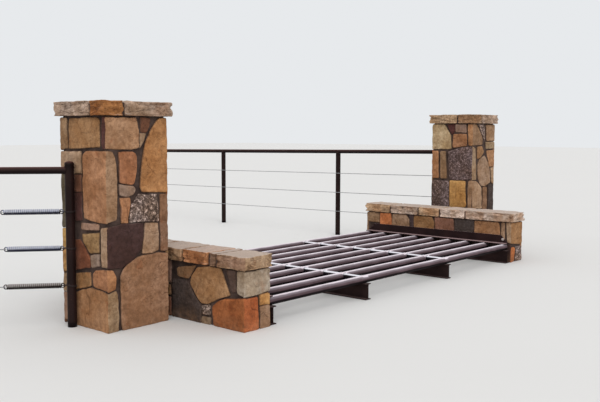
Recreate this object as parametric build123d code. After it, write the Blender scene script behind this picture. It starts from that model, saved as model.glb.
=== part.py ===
from build123d import *
import math
import os

# Cattle grid across a private road: pipes on steel beams between two low stone walls,
# each wall with a square stone pillar behind it and a pipe fence running on from the pillar.
# Millimetres. +Z is up, and Z = 0 is the ground at the foot of the walls and pillars.
# The origin is the middle of the near wall's foot. +X points across the road to the far wall,
# along the pipes. +Y points along the road, and the near and far walls run along it.

# Roadway
clear_width = 4270.0
seat_gap = 0.3

# Grid pipes, laid across the road at an even pitch
pipe_count = 9
pipe_pitch = 250.0
pipe_diameter = 73.0
pipe_thickness = 5.5
pipe_end_gap = 12.0

# Steel beams along the road, under the pipes
beam_depth = 152.0
beam_flange_width = 76.0
beam_flange_thickness = 8.3
beam_web_thickness = 5.4
beam_root_radius = 7.0
beam_end_overhang = 20.0
near_stringer_offset = 765.0
far_stringer_offset = 712.0
end_beam_setback = 52.0

# Short coped pipes that hold the grid pipes apart over the two inner beams
spacer_diameter = 60.3

# Steel angle along the foot of each wall, over the pipe ends
angle_height = 102.0
angle_leg = 76.0
angle_thickness = 8.0
angle_root_radius = 8.0
angle_length = 2060.0
angle_corner_cut_length = 90.0
angle_bolt_hole = 18.0
angle_bolt_inset = 60.0
angle_bolt_height = 52.0

# Low stone walls along both sides of the road, and their copings
wall_thickness = 300.0
wall_length = 2150.0
wall_height = 490.0
coping_thickness = 110.0
coping_overhang = 25.0
coping_arris = 12.0

# Stone pillars behind the walls, and their caps
pillar_side = 610.0
pillar_height = 1690.0
pillar_gap = 110.0
cap_thickness = 118.0
cap_overhang = 39.0
cap_arris = 12.0
joint_length = 300.0

# Fence pipes
post_diameter = 73.0
post_thickness = 5.0
post_crown = 18.0
rail_diameter = 57.0
rail_thickness = 4.0
bay_length = 2520.0

# Near fence: one bay from the near pillar
near_rail_height = 1260.0
near_post_rise = 73.0
near_post_shift = 115.0
near_fence_turn = 39.0

# Far fence: bays along the road from the far pillar, its rail falling with the ground.
# The first bay is measured from the pillar's middle.
far_post_count = 3
far_first_bay_length = 2145.0
far_rail_height = 1308.0
far_rail_fall = 0.0142

# Fence cables, and the tension springs at the near post
near_cable_heights = (932.0, 638.0, 338.0)
far_cable_heights = (978.0, 686.0, 396.0)
cable_diameter = 9.0
tie_wire = 6.0
spring_diameter = 46.0
spring_lengths = (438.0, 418.0, 430.0)
spring_link = 34.0
spring_eye_radius = 9.0
ring_sides = 16

# Levels and places worked out from the sizes above
pipe_radius = pipe_diameter / 2
pipe_axis_height = beam_depth + seat_gap + pipe_radius
pipe_crest_height = pipe_axis_height + pipe_radius
near_face = wall_thickness / 2
far_face = near_face + clear_width
grid_middle = near_face + clear_width / 2
pipe_length = clear_width - 2 * pipe_end_gap
pipe_span = (pipe_count - 1) * pipe_pitch
beam_length = pipe_span + pipe_diameter + 2 * beam_end_overhang
pillar_offset = clear_width / 2 + wall_thickness + pillar_gap + pillar_side / 2
post_radius = post_diameter / 2
rail_radius = rail_diameter / 2
near_pillar_face = grid_middle - pillar_offset - pillar_side / 2
far_pillar_middle = grid_middle + pillar_offset

parts = {}


def bar(radius, length, axis):
    """A round bar that starts at the origin and runs along one axis."""
    turn = {"x": (0, 90, 0), "y": (-90, 0, 0), "z": (0, 0, 0)}[axis]
    return Rot(*turn) * Cylinder(radius, length, align=(Align.CENTER, Align.CENTER, Align.MIN))


def tube(radius, thickness, length, axis):
    """A round tube that starts at the origin and runs along one axis."""
    return bar(radius, length, axis) - bar(radius - thickness, length, axis)


def block(size_x, size_y, size_z):
    """A block that stands on the origin."""
    return Box(size_x, size_y, size_z, align=(Align.CENTER, Align.CENTER, Align.MIN))


def pipe_position(index):
    """The place along the road of one grid pipe, counted from the near end of the road."""
    return index * pipe_pitch - pipe_span / 2


# Grid pipes
for index in range(pipe_count):
    start = Pos(grid_middle - pipe_length / 2, pipe_position(index), pipe_axis_height)
    parts[f"grid_pipe_{index + 1}"] = start * tube(pipe_radius, pipe_thickness, pipe_length, "x")


# Beams under the pipes
def beam():
    """A rolled steel joist along the road, with rounded roots between web and flanges."""
    profile = Rectangle(beam_flange_width, beam_depth)
    side_width = (beam_flange_width - beam_web_thickness) / 2
    side_depth = beam_depth - 2 * beam_flange_thickness
    for side in (-1, 1):
        middle = side * (beam_web_thickness + side_width) / 2
        hollow = Pos(middle, 0) * Rectangle(side_width, side_depth)
        roots = hollow.vertices().sort_by(Axis.X)
        roots = roots[2:] if side < 0 else roots[:2]
        profile -= fillet(roots, beam_root_radius)
    solid = extrude(Plane.XZ * profile, beam_length / 2, both=True)
    return Pos(0, 0, beam_depth / 2) * solid


end_beam_offset = clear_width / 2 - end_beam_setback
beam_offsets = {
    "near_end_beam": -end_beam_offset,
    "near_stringer": -near_stringer_offset,
    "far_stringer": far_stringer_offset,
    "far_end_beam": end_beam_offset,
}
for name, offset in beam_offsets.items():
    parts[name] = Pos(grid_middle + offset, 0, 0) * beam()


# Coped spacers over the two inner beams
def spacer_row():
    """Short pipes along the road, each cut at both ends to the curve of the grid pipes."""
    cope = bar(pipe_radius + seat_gap, beam_flange_width, "x")
    spacers = []
    for index in range(pipe_count - 1):
        start, end = pipe_position(index), pipe_position(index + 1)
        spacer = Pos(0, start, 0) * bar(spacer_diameter / 2, pipe_pitch, "y")
        for place in (start, end):
            spacer -= Pos(-beam_flange_width / 2, place, 0) * cope
        spacers.append(spacer.solids().sort_by(SortBy.VOLUME)[-1])
    return Pos(0, 0, pipe_axis_height) * Compound(children=spacers)


parts["near_spacers"] = Pos(grid_middle - near_stringer_offset, 0, 0) * spacer_row()
parts["far_spacers"] = Pos(grid_middle + far_stringer_offset, 0, 0) * spacer_row()


# Angles over the pipe ends, bolted to the walls
def side_angle():
    """An angle whose upright stands on the YZ plane, its leg towards +X, with cut top corners."""
    outline = Polyline(
        (0, 0),
        (angle_leg, 0),
        (angle_leg, angle_thickness),
        (angle_thickness, angle_thickness),
        (angle_thickness, angle_height),
        (0, angle_height),
        close=True,
    )
    profile = make_face(outline)
    root = profile.vertices().sort_by_distance((angle_thickness, angle_thickness))[0]
    profile = fillet(root, angle_root_radius)
    angle = extrude(Plane.XZ * profile, angle_length / 2, both=True)
    for side in (-1, 1):
        corner = Polyline(
            (side * angle_length / 2, angle_height),
            (side * (angle_length / 2 - angle_corner_cut_length), angle_height),
            (side * angle_length / 2, angle_height - angle_corner_cut_length),
            close=True,
        )
        angle -= extrude(Plane.YZ * make_face(corner), angle_leg, both=True)
        hole_place = side * (angle_length / 2 - angle_bolt_inset)
        angle -= Pos(0, hole_place, angle_bolt_height) * bar(angle_bolt_hole / 2, angle_leg, "x")
    return angle


angle_seat = pipe_crest_height + seat_gap
parts["near_side_angle"] = Pos(near_face, 0, angle_seat) * side_angle()
parts["far_side_angle"] = Pos(far_face, 0, angle_seat) * Rot(0, 0, 180) * side_angle()


# Walls, pillars and the masonry between them
def dressed_slab(size_x, size_y, size_z, arris):
    """A slab of dressed stone with its arrises taken off."""
    slab = block(size_x, size_y, size_z)
    return chamfer(slab.edges(), arris)


for name, side in (("near", -1), ("far", 1)):
    wall_x = grid_middle + side * (clear_width + wall_thickness) / 2
    pillar_x = grid_middle + side * pillar_offset
    joint_x = grid_middle + side * (clear_width / 2 + wall_thickness + pillar_gap / 2)
    coping_width = wall_thickness + 2 * coping_overhang
    coping_length = wall_length + 2 * coping_overhang
    cap_side = pillar_side + 2 * cap_overhang
    parts[f"{name}_wall"] = Pos(wall_x, 0, 0) * block(wall_thickness, wall_length, wall_height)
    parts[f"{name}_wall_coping"] = Pos(wall_x, 0, wall_height) * dressed_slab(
        coping_width, coping_length, coping_thickness, coping_arris
    )
    parts[f"{name}_pillar"] = Pos(pillar_x, 0, 0) * block(pillar_side, pillar_side, pillar_height)
    parts[f"{name}_pillar_cap"] = Pos(pillar_x, 0, pillar_height) * dressed_slab(
        cap_side, cap_side, cap_thickness, cap_arris
    )
    parts[f"{name}_wall_joint"] = Pos(joint_x, 0, 0) * block(pillar_gap, joint_length, wall_height)


# Fence pieces, in a frame with the fence along +X
def end_post(height):
    """A post with a crowned cap on top, hollow from below."""
    post = bar(post_radius, height, "z")
    post = chamfer(post.faces().sort_by(Axis.Z)[-1].edges(), post_crown)
    return post - bar(post_radius - post_thickness, height - post_crown, "z")


def ring(bore_radius, plane):
    """A ring of square wire about the origin, with flat sides outside its round bore."""
    outline = RegularPolygon(bore_radius + tie_wire, ring_sides, major_radius=False)
    bore = RegularPolygon(bore_radius, ring_sides, major_radius=False)
    return extrude(plane * (outline - bore), tie_wire / 2, both=True)


def tie_ring():
    """The ring that goes round a post at a cable."""
    return ring(post_radius + seat_gap, Plane.XY)


def spring_run(length):
    """A tie ring, its link, the closed coil of a tension spring and the eye at its end."""
    link_start = post_radius + seat_gap + tie_wire / 2
    coil_start = post_radius + spring_link
    link = Pos(link_start, 0, 0) * bar(tie_wire / 2, coil_start + tie_wire - link_start, "x")
    coil = Pos(coil_start, 0, 0) * bar(spring_diameter / 2, length, "x")
    eye = Pos(coil_start + length + spring_eye_radius, 0, 0) * ring(spring_eye_radius, Plane.XZ)
    return tie_ring() + link + coil + eye


# Near fence
ring_reach = (post_radius + seat_gap + tie_wire) / math.cos(math.pi / ring_sides)
near_post_x = near_pillar_face - ring_reach - seat_gap
near_fence = Pos(near_post_x, near_post_shift, 0) * Rot(0, 0, 180 - near_fence_turn)
near_post_height = near_rail_height + near_post_rise
near_far_post = Pos(bay_length, 0, 0)
post_clearance = bar(post_radius + seat_gap, near_post_height, "z")
near_rail = Pos(0, 0, near_rail_height) * tube(rail_radius, rail_thickness, bay_length, "x")
near_rail = near_rail - post_clearance - near_far_post * post_clearance
parts["near_fence_end_post"] = near_fence * end_post(near_post_height)
parts["near_fence_line_post"] = near_fence * near_far_post * end_post(near_post_height)
parts["near_fence_rail"] = near_fence * near_rail.solids().sort_by(SortBy.VOLUME)[-1]

cable_end = bay_length - post_radius - seat_gap - tie_wire / 2
for index, (height, length) in enumerate(zip(near_cable_heights, spring_lengths)):
    level = Pos(0, 0, height)
    eye_end = post_radius + spring_link + length + 2 * spring_eye_radius + tie_wire
    cable_start = eye_end + seat_gap
    cable = Pos(cable_start, 0, 0) * bar(cable_diameter / 2, cable_end - cable_start, "x")
    cable += near_far_post * tie_ring()
    parts[f"near_fence_spring_{index + 1}"] = near_fence * level * spring_run(length)
    parts[f"near_fence_cable_{index + 1}"] = near_fence * level * cable

# Far fence
far_fence = Pos(far_pillar_middle, 0, 0) * Rot(0, 0, 90)
far_length = far_first_bay_length + (far_post_count - 1) * bay_length
fall_turn = math.degrees(math.atan(far_rail_fall))


def far_rail_level(distance):
    """The height of the far rail's axis at a distance from the middle of the pillar."""
    return far_rail_height - far_rail_fall * distance


far_rail_run = Pos(0, 0, far_rail_height) * Rot(0, fall_turn, 0)
far_run_length = far_length / math.cos(math.radians(fall_turn))
far_rail = far_rail_run * tube(rail_radius, rail_thickness, far_run_length, "x")
far_rail -= block(pillar_side, pillar_side, pillar_height)
far_rail -= Pos(far_length, 0, 0) * post_clearance
parts["far_fence_rail"] = far_fence * far_rail.solids().sort_by(SortBy.VOLUME)[-1]
rail_clearance = far_rail_run * bar(rail_radius + seat_gap, far_run_length, "x")
for index in range(1, far_post_count):
    distance = far_first_bay_length + (index - 1) * bay_length
    post = Pos(distance, 0, 0) * tube(post_radius, post_thickness, far_rail_level(distance), "z")
    post = (post - rail_clearance).solids().sort_by(SortBy.VOLUME)[-1]
    parts[f"far_fence_post_{index}"] = far_fence * post
last_post_height = far_rail_level(far_length) + near_post_rise
parts[f"far_fence_post_{far_post_count}"] = far_fence * Pos(far_length, 0, 0) * end_post(last_post_height)

far_cable_side = post_radius + seat_gap + cable_diameter / 2
for index, height in enumerate(far_cable_heights):
    run = Pos(0, far_cable_side, height) * Rot(0, fall_turn, 0)
    cable = run * bar(cable_diameter / 2, far_length + post_diameter, "x")
    cable -= block(pillar_side, pillar_side, pillar_height)
    parts[f"far_fence_cable_{index + 1}"] = far_fence * cable.solids().sort_by(SortBy.VOLUME)[-1]

os.makedirs("parts", exist_ok=True)
for name, solid in parts.items():
    export_step(solid, f"parts/{name}.step")
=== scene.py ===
# %% [markdown]
# # A cattle grid between two low stone walls
# The object is made of steel and stone: dark pipes laid side by side, a low wall of irregular
# sandstone at either end of them, a square pillar behind each wall, and pipe fences.
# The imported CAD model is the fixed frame. Flat steel keeps its CAD shape and gets a finish
# here. The masonry, the pipes, the springs and the cables are built again as numpy surfaces,
# because what makes them real is in their rounded, broken or twisted shape.

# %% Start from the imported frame
import math
from itertools import product

import bpy
import numpy as np
from mathutils import Matrix, Vector


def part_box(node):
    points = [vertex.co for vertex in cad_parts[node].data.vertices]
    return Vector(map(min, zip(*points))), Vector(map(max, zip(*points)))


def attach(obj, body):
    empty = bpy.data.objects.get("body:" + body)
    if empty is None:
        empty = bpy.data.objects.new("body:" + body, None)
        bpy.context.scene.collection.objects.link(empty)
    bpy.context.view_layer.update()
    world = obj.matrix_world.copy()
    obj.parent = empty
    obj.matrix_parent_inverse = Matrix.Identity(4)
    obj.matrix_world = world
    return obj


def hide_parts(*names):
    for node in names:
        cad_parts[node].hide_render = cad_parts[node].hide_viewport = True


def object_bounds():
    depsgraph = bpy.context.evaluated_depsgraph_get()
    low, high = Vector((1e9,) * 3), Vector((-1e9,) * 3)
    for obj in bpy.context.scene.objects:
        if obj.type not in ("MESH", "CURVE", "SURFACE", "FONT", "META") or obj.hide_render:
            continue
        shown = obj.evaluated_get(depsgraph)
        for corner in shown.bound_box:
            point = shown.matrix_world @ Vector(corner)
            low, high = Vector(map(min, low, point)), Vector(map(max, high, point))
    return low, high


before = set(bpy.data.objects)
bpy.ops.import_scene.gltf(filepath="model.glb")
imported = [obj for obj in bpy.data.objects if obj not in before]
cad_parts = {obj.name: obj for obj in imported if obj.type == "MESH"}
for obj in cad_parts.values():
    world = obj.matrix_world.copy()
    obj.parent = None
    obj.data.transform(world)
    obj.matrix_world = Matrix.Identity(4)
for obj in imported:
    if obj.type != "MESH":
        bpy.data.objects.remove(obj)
cad_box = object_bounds()
box = {name: np.array(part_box(name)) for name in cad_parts}
print("nodes:", len(box), "whole box:", np.round(np.array(cad_box), 3).tolist())

# %% [markdown]
# ## The camera
# The viewer stands beside the near pillar, a little above its middle. The station was worked
# out from the edges of pillars and walls, so it is kept as plain values: where the eye is,
# which way it looks and how long the lens is. The camera's axes are worked out first, because
# they also carry a point of the picture back onto the face of a wall.

# %% Camera values and axes
PICTURE_WIDTH, PICTURE_HEIGHT = 600, 402
FOCAL_PIXELS = 802.9
EYE = np.array([-4.539, -5.429, 1.565])
HEADING = math.radians(40.77)
DOWNWARD = math.radians(4.88)
ROLL = math.radians(0.18)
SENSOR_WIDTH = 36.0

level_forward = np.array([math.cos(HEADING), math.sin(HEADING), 0.0])
level_right = np.array([math.sin(HEADING), -math.cos(HEADING), 0.0])
upward = np.array([0.0, 0.0, 1.0])
look = level_forward * math.cos(DOWNWARD) - upward * math.sin(DOWNWARD)
rise = level_forward * math.sin(DOWNWARD) + upward * math.cos(DOWNWARD)
camera_right = level_right * math.cos(ROLL) + rise * math.sin(ROLL)
camera_up = rise * math.cos(ROLL) - level_right * math.sin(ROLL)

camera_data = bpy.data.cameras.new("viewer_camera")
camera_data.sensor_width = SENSOR_WIDTH
camera_data.lens = FOCAL_PIXELS / PICTURE_WIDTH * SENSOR_WIDTH
camera_data.clip_end = 300.0
camera = bpy.data.objects.new("viewer_camera", camera_data)
bpy.context.collection.objects.link(camera)
turn = Matrix([camera_right, camera_up, -look]).transposed().to_4x4()
camera.matrix_world = Matrix.Translation(Vector(EYE)) @ turn
bpy.context.scene.camera = camera


def picture_to_plane(pixels, axis, level):
    """Where the rays through points of the picture meet a plane across one axis.

    A ray is the look direction plus the point's offsets along the camera's right and up axes;
    it is lengthened until the chosen coordinate reaches the plane's level.
    """
    pixels = np.atleast_2d(np.array(pixels, float))
    across = (pixels[:, 0] - PICTURE_WIDTH / 2) / FOCAL_PIXELS
    above = (PICTURE_HEIGHT / 2 - pixels[:, 1]) / FOCAL_PIXELS
    rays = look + across[:, None] * camera_right + above[:, None] * camera_up
    length = (level - EYE[axis]) / rays[:, axis]
    return EYE + length[:, None] * rays


print("lens", round(camera_data.lens, 2), "mm")

# %% [markdown]
# ## Floor and light
# The light is that of an overcast day: broad and nearly shadowless, a little stronger from
# one side. A pale sky does most of the work, and one very wide sun lamp gives the faces a
# gentle difference. The view transform is Standard, so a colour renders about as written.

# %% Floor and sun
FLOOR_REACH = 80.0
FLOOR_LEVEL = -0.001
SUN_STRENGTH = 1.25
SUN_SPREAD = math.radians(50.0)
SUN_TURN = (math.radians(46.0), 0.0, math.radians(-36.0))

bpy.context.scene.view_settings.view_transform = "Standard"
grid_middle = float(box["grid_pipe_5"][:, 0].mean())
floor_corners = FLOOR_REACH * np.array([(-1, -1), (1, -1), (1, 1), (-1, 1)])
floor_mesh = bpy.data.meshes.new("floor")
floor_mesh.from_pydata(
    [(grid_middle + x, y, FLOOR_LEVEL) for x, y in floor_corners], [], [(0, 1, 2, 3)]
)
floor = bpy.data.objects.new("floor", floor_mesh)
bpy.context.collection.objects.link(floor)

sun_data = bpy.data.lights.new("soft_sun", "SUN")
sun_data.energy = SUN_STRENGTH
sun_data.angle = SUN_SPREAD
sun = bpy.data.objects.new("soft_sun", sun_data)
sun.rotation_euler = SUN_TURN
bpy.context.collection.objects.link(sun)
print("sun", SUN_STRENGTH, "spread over", round(math.degrees(SUN_SPREAD)), "degrees")

# %% [markdown]
# ## Writing shaders as arithmetic
# A node tree is easier to read as a formula. `Wire` wraps one output socket and overloads the
# signs of arithmetic, so `dust * 0.6 + grain` adds its Math nodes by itself. `NodeTree` holds
# the nodes of a material or of the sky, and its `node` method adds any other node from a type,
# settings and inputs. `Finish` is one material. Colours never pass through Math nodes, which
# would turn them grey; its `blend` mixes them.

# %% Wires
class Wire:
    """One output socket, with the arithmetic of numbers."""

    def __init__(self, owner, socket):
        self.owner = owner
        self.socket = socket

    def math(self, operation, first, second):
        return self.owner.node("ShaderNodeMath", {"operation": operation}, {0: first, 1: second})

    def __add__(self, other):
        return self.math("ADD", self, other)

    def __sub__(self, other):
        return self.math("SUBTRACT", self, other)

    def __rsub__(self, other):
        return self.math("SUBTRACT", other, self)

    def __mul__(self, other):
        return self.math("MULTIPLY", self, other)

    __radd__ = __add__
    __rmul__ = __mul__

    def step(self, low, high):
        """0 below low, 1 above high, and a smooth change between them."""
        settings = {"interpolation_type": "SMOOTHSTEP"}
        inputs = {"Value": self, "From Min": low, "From Max": high}
        return self.owner.node("ShaderNodeMapRange", settings, inputs)


# %% Node trees and finishes
class NodeTree:
    """The nodes of a material or of the sky."""

    def __init__(self, holder):
        self.holder = holder
        holder.use_nodes = True
        holder.node_tree.nodes.clear()

    def node(self, kind, settings=None, inputs=None, out=0):
        """Adds a node: its settings first, then a value or a wire for each named socket."""
        made = self.holder.node_tree.nodes.new(kind)
        for key, value in (settings or {}).items():
            setattr(made, key, value)
        for key, value in (inputs or {}).items():
            if isinstance(value, Wire):
                self.holder.node_tree.links.new(value.socket, made.inputs[key])
            else:
                made.inputs[key].default_value = value
        return Wire(self, made.outputs[out]) if made.outputs else None


class Finish(NodeTree):
    """One material, with the few patterns that the finishes below are made of."""

    def __init__(self, name):
        super().__init__(bpy.data.materials.new(name))
        self.place = self.node("ShaderNodeTexCoord", out="Object")

    def blend(self, factor, first, second, how="MIX"):
        """Two colours mixed by a factor, in one Mix node."""
        first = first if isinstance(first, Wire) else (*first, 1.0)
        second = second if isinstance(second, Wire) else (*second, 1.0)
        settings = {"data_type": "RGBA", "blend_type": how}
        return self.node("ShaderNodeMix", settings, {0: factor, 6: first, 7: second}, out=2)

    def patches(self, per_metre, detail=3.0, rough=0.55, stretch=(1, 1, 1)):
        """Soft noise from 0 to 1, with about this many patches in a metre."""
        stretched = self.node("ShaderNodeMapping", {}, {"Vector": self.place, "Scale": stretch})
        inputs = {"Vector": stretched, "Scale": per_metre, "Detail": detail, "Roughness": rough}
        return self.node("ShaderNodeTexNoise", {}, inputs)

    def part(self, vector, letter):
        """One coordinate of a vector."""
        return self.node("ShaderNodeSeparateXYZ", {}, {0: vector}, out=letter)

    def upward_facing(self):
        """1 where the surface looks straight up, 0 where it is upright, -1 underneath."""
        return self.part(self.node("ShaderNodeNewGeometry", out="Normal"), "Z")

    def bump(self, height, depth, strength=1.0, below=None):
        """A normal bent by a height from 0 to 1, which stands for this depth in metres."""
        inputs = {"Height": height, "Distance": depth, "Strength": strength}
        if below is not None:
            inputs["Normal"] = below
        return self.node("ShaderNodeBump", {}, inputs)

    def surface(self, colour, roughness, normal=None, mirror=None):
        """Ends the material in a Principled shader; mirror is its level of reflection."""
        inputs = {"Base Color": colour, "Roughness": roughness}
        if normal is not None:
            inputs["Normal"] = normal
        if mirror is not None:
            inputs["Specular IOR Level"] = mirror
        shader = self.node("ShaderNodeBsdfPrincipled", {}, inputs)
        self.node("ShaderNodeOutputMaterial", {}, {"Surface": shader})
        return self.holder


# %% [markdown]
# ## The floor's finish and the sky
# The floor is a plain pale sheet with very faint patches. The sky has two colours: one lights
# the object, and a darker one is what the camera sees behind it. A picture for the sky would
# light it too, but plain colours are enough for an overcast day, and they cast no pattern.

# %% Floor finish and sky
FLOOR_COLOUR = (0.70, 0.69, 0.67)
FLOOR_SHADE = (0.60, 0.59, 0.57)
SKY_COLOUR = (0.97, 0.98, 1.0)
SKY_LIGHT = 0.86
BACKDROP_COLOUR = (0.80, 0.82, 0.84)

floor_finish = Finish("plain_floor")
floor_shade = floor_finish.patches(0.6, detail=2.0).step(0.2, 0.8)
floor_tone = floor_finish.blend(floor_shade * 0.06, FLOOR_COLOUR, FLOOR_SHADE)
floor.data.materials.append(floor_finish.surface(floor_tone, 0.9))

sky = NodeTree(bpy.data.worlds.new("pale_sky"))
bpy.context.scene.world = sky.holder
seen = sky.node("ShaderNodeLightPath", out="Is Camera Ray")
for kind in ("Is Glossy Ray", "Is Transmission Ray"):
    ray = sky.node("ShaderNodeLightPath", out=kind)
    settings = {"operation": "ADD", "use_clamp": True}
    seen = sky.node("ShaderNodeMath", settings, {0: seen, 1: ray})
lighting, backdrop = (
    sky.node("ShaderNodeBackground", {}, {"Color": (*colour, 1.0), "Strength": strength})
    for colour, strength in ((SKY_COLOUR, SKY_LIGHT), (BACKDROP_COLOUR, 1.0))
)
either = sky.node("ShaderNodeMixShader", {}, {0: seen, 1: lighting, 2: backdrop})
sky.node("ShaderNodeOutputWorld", {}, {"Surface": either})
print("sky light", SKY_LIGHT)

# %% [markdown]
# ## Surfaces from numpy
# Every new piece is a set of points worked out as whole arrays. A few helpers are enough: a
# noise that is the same wherever the same place is asked for, so neighbouring surfaces stay
# joined when it moves them; the quads of a grid, turned outwards; a function that joins
# surfaces; and one that merges the points that meet and hands the arrays to Blender.

# %% Noise in space
def lattice_noise(points, size, seed):
    """Smooth random values from -1 to 1.

    A random number sits on each corner of a lattice of cells of this size, and a smooth step
    blends the eight corners around each point.
    """
    cell = points / size + 0.37 * seed
    base = np.floor(cell).astype(np.int64)
    part = cell - base
    part = part * part * (3 - 2 * part)
    total = np.zeros(len(points))
    for corner in product((0, 1), repeat=3):
        key = base + np.array(corner)
        mixed = key[:, 0] * 73856093 ^ key[:, 1] * 19349663 ^ key[:, 2] * 83492791 ^ seed * 7919
        mixed = (mixed ^ (mixed >> 13)) * 1274126177
        value = ((mixed ^ (mixed >> 16)) & 0xFFFF) / 32767.5 - 1
        total += np.prod(np.where(corner, part, 1 - part), axis=1) * value
    return total


def space_shift(points, layers, seed):
    """A small push in all three directions: one noise for each direction and layer.

    Each layer is a cell size and a depth, both in metres.
    """
    push = np.zeros_like(points)
    for layer, (size, depth) in enumerate(layers):
        for axis in range(3):
            push[:, axis] += depth * lattice_noise(points, size, seed + 17 * layer + 5 * axis)
    return push


# %% Grids and joined surfaces
def grid_faces(rows, columns, round_rows=False, round_columns=False):
    """The quads between neighbouring points of a grid that is stored row by row."""
    index = np.arange(rows * columns).reshape(rows, columns)
    if round_columns:
        index = np.hstack([index, index[:, :1]])
    if round_rows:
        index = np.vstack([index, index[:1]])
    corners = (index[:-1, :-1], index[:-1, 1:], index[1:, 1:], index[1:, :-1])
    return np.stack(corners, axis=-1).reshape(-1, 4)


def facing_out(points, faces):
    """Turns a closed surface's faces outwards: the volume that they enclose is positive."""
    a, b, c, d = (points[faces[:, k]] for k in range(4))
    volume = np.einsum("ij,ij->i", a, np.cross(b, c) + np.cross(c, d)).sum()
    return points, faces if volume > 0 else faces[:, ::-1]


def together(parts):
    """Joins (points, faces) pairs, moving each part's face numbers past the points before."""
    starts = np.cumsum([0] + [len(points) for points, _ in parts[:-1]])
    points = np.vstack([points for points, _ in parts])
    faces = np.vstack([faces + start for (_, faces), start in zip(parts, starts)])
    return points, faces


def once_round(count):
    """Angles at even steps once round a circle."""
    return np.linspace(0, 2 * math.pi, count, endpoint=False)


# %% Merging and filling
def merged(points, faces):
    """Points nearer than a hundredth of a millimetre become one.

    A quad whose corners have met becomes a triangle. Handed back are the points, the quads,
    the triangles, and the old number of each point.
    """
    keys = np.round(points * 1e5).astype(np.int64)
    _, first, place = np.unique(keys, axis=0, return_index=True, return_inverse=True)
    faces = place.reshape(-1)[faces]
    met = faces == np.roll(faces, -1, axis=1)
    thin = met.sum(axis=1) == 1
    triangles = faces[thin][~met[thin]].reshape(-1, 3)
    return points[first], faces[met.sum(axis=1) == 0], triangles, first


def filled_mesh(name, points, quads, triangles):
    """A smooth mesh from arrays: the points, all corners in a row, and where each face starts."""
    mesh = bpy.data.meshes.new(name)
    mesh.vertices.add(len(points))
    mesh.vertices.foreach_set("co", points.ravel())
    corners = np.concatenate([quads.ravel(), triangles.ravel()])
    mesh.loops.add(len(corners))
    mesh.loops.foreach_set("vertex_index", corners)
    starts = np.arange(len(quads)) * 4
    starts = np.concatenate([starts, len(quads) * 4 + np.arange(len(triangles)) * 3])
    mesh.polygons.add(len(starts))
    mesh.polygons.foreach_set("loop_start", starts)
    mesh.update(calc_edges=True)
    mesh.validate()
    mesh.polygons.foreach_set("use_smooth", np.ones(len(mesh.polygons), bool))
    return mesh


# %% Pieces
def make_piece(name, surface, finish, node=None, tints=None):
    """Makes one object from a pair of points and quads, with a finish, and hides the CAD part.

    A node is the CAD part that it stands for. Tints is a colour for each point, kept as the
    attribute stone_tint.
    """
    points, quads, triangles, first = merged(*surface)
    mesh = filled_mesh(name, points, quads, triangles)
    if tints is not None:
        layer = mesh.color_attributes.new("stone_tint", "FLOAT_COLOR", "POINT")
        layer.data.foreach_set("color", tints[first].ravel())
    mesh.materials.append(finish)
    piece = bpy.data.objects.new(name, mesh)
    bpy.context.collection.objects.link(piece)
    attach(piece, "root")
    if node:
        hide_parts(node)
    print(f"{name}: {len(quads) * 2 + len(triangles)} triangles")
    return piece


# %% [markdown]
# ## Painted and weathered steel
# All of the steel once had the same dark red-brown paint. The fences kept it, nearly black.
# The grid is worn by use and rain: its flanks are mauve-brown and the crest of each pipe is
# rubbed pale and dusty. One recipe makes them all, with light and shade painted in: three
# colours by the way the surface faces, black underneath as dirt and painted shade, lighter
# towards a crest of dust and painted highlight, each broken up by soft patches and rust specks.

# %% Painted steel
# near black for undersides: dirt, and painted shade
DIRT_AND_SHADE = (0.009, 0.005, 0.006)
RUST_SPECK = (0.14, 0.055, 0.028)
HIGHLIGHT_BAND_WIDTH = 0.070
HIGHLIGHT_BAND_MIDDLE = 0.025


def painted_steel(
    name, under, flank, shoulder, crest, crest_at=0.86, roughness=0.6, mirror=0.1, rows=()
):
    """Old paint with painted light: dirt and painted shade underneath, a flank colour in patches,
    a shoulder that is worn and painted lighter, and a crest of pale dust and painted highlight.

    Rows are distances along x where a band of pipe is painted pale as a highlight: there the
    facing is lifted, so the crest colour reaches further down the flank.
    """
    steel = Finish(name)
    facing = steel.upward_facing()
    broad = steel.patches(4.0, detail=4.0).step(0.35, 0.68)
    fine = steel.patches(80.0, detail=4.0, rough=0.7, stretch=(0.12, 1, 1))
    along = steel.part(steel.place, "X") + 0.16 * (steel.patches(22.0, detail=3.0) - 0.5)
    # painted highlight: near each spacer row the facing is lifted, so the pale crest reaches further
    # down the flank
    for row in rows:
        band = along.step(row - HIGHLIGHT_BAND_WIDTH, row - HIGHLIGHT_BAND_MIDDLE)
        band = band - along.step(row + HIGHLIGHT_BAND_MIDDLE, row + HIGHLIGHT_BAND_WIDTH)
        facing = facing + 0.24 * band * facing.step(0.0, 0.3)
    ragged = facing + 0.20 * (fine - 0.5) + 0.06 * (broad - 0.5)
    paint = steel.blend(broad, tuple(0.8 * c for c in flank), tuple(1.2 * c for c in flank))
    specks = steel.patches(130.0, detail=2.0).step(0.64, 0.74)
    paint = steel.blend(specks * 0.4, paint, RUST_SPECK)
    # painted light: darker below and lighter towards the crest, by the way the surface faces
    colour = steel.blend(ragged.step(-0.24, 0.08), under, paint)
    colour = steel.blend(ragged.step(0.28, 0.66), colour, shoulder)
    colour = steel.blend(ragged.step(crest_at - 0.14, crest_at + 0.10), colour, crest)
    gloss = roughness + 0.16 * (fine - 0.5)
    dents = steel.bump(steel.patches(14.0), 0.0012, 0.5)
    return steel.surface(colour, gloss, steel.bump(fine, 0.0003, 0.5, dents), mirror)


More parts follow.
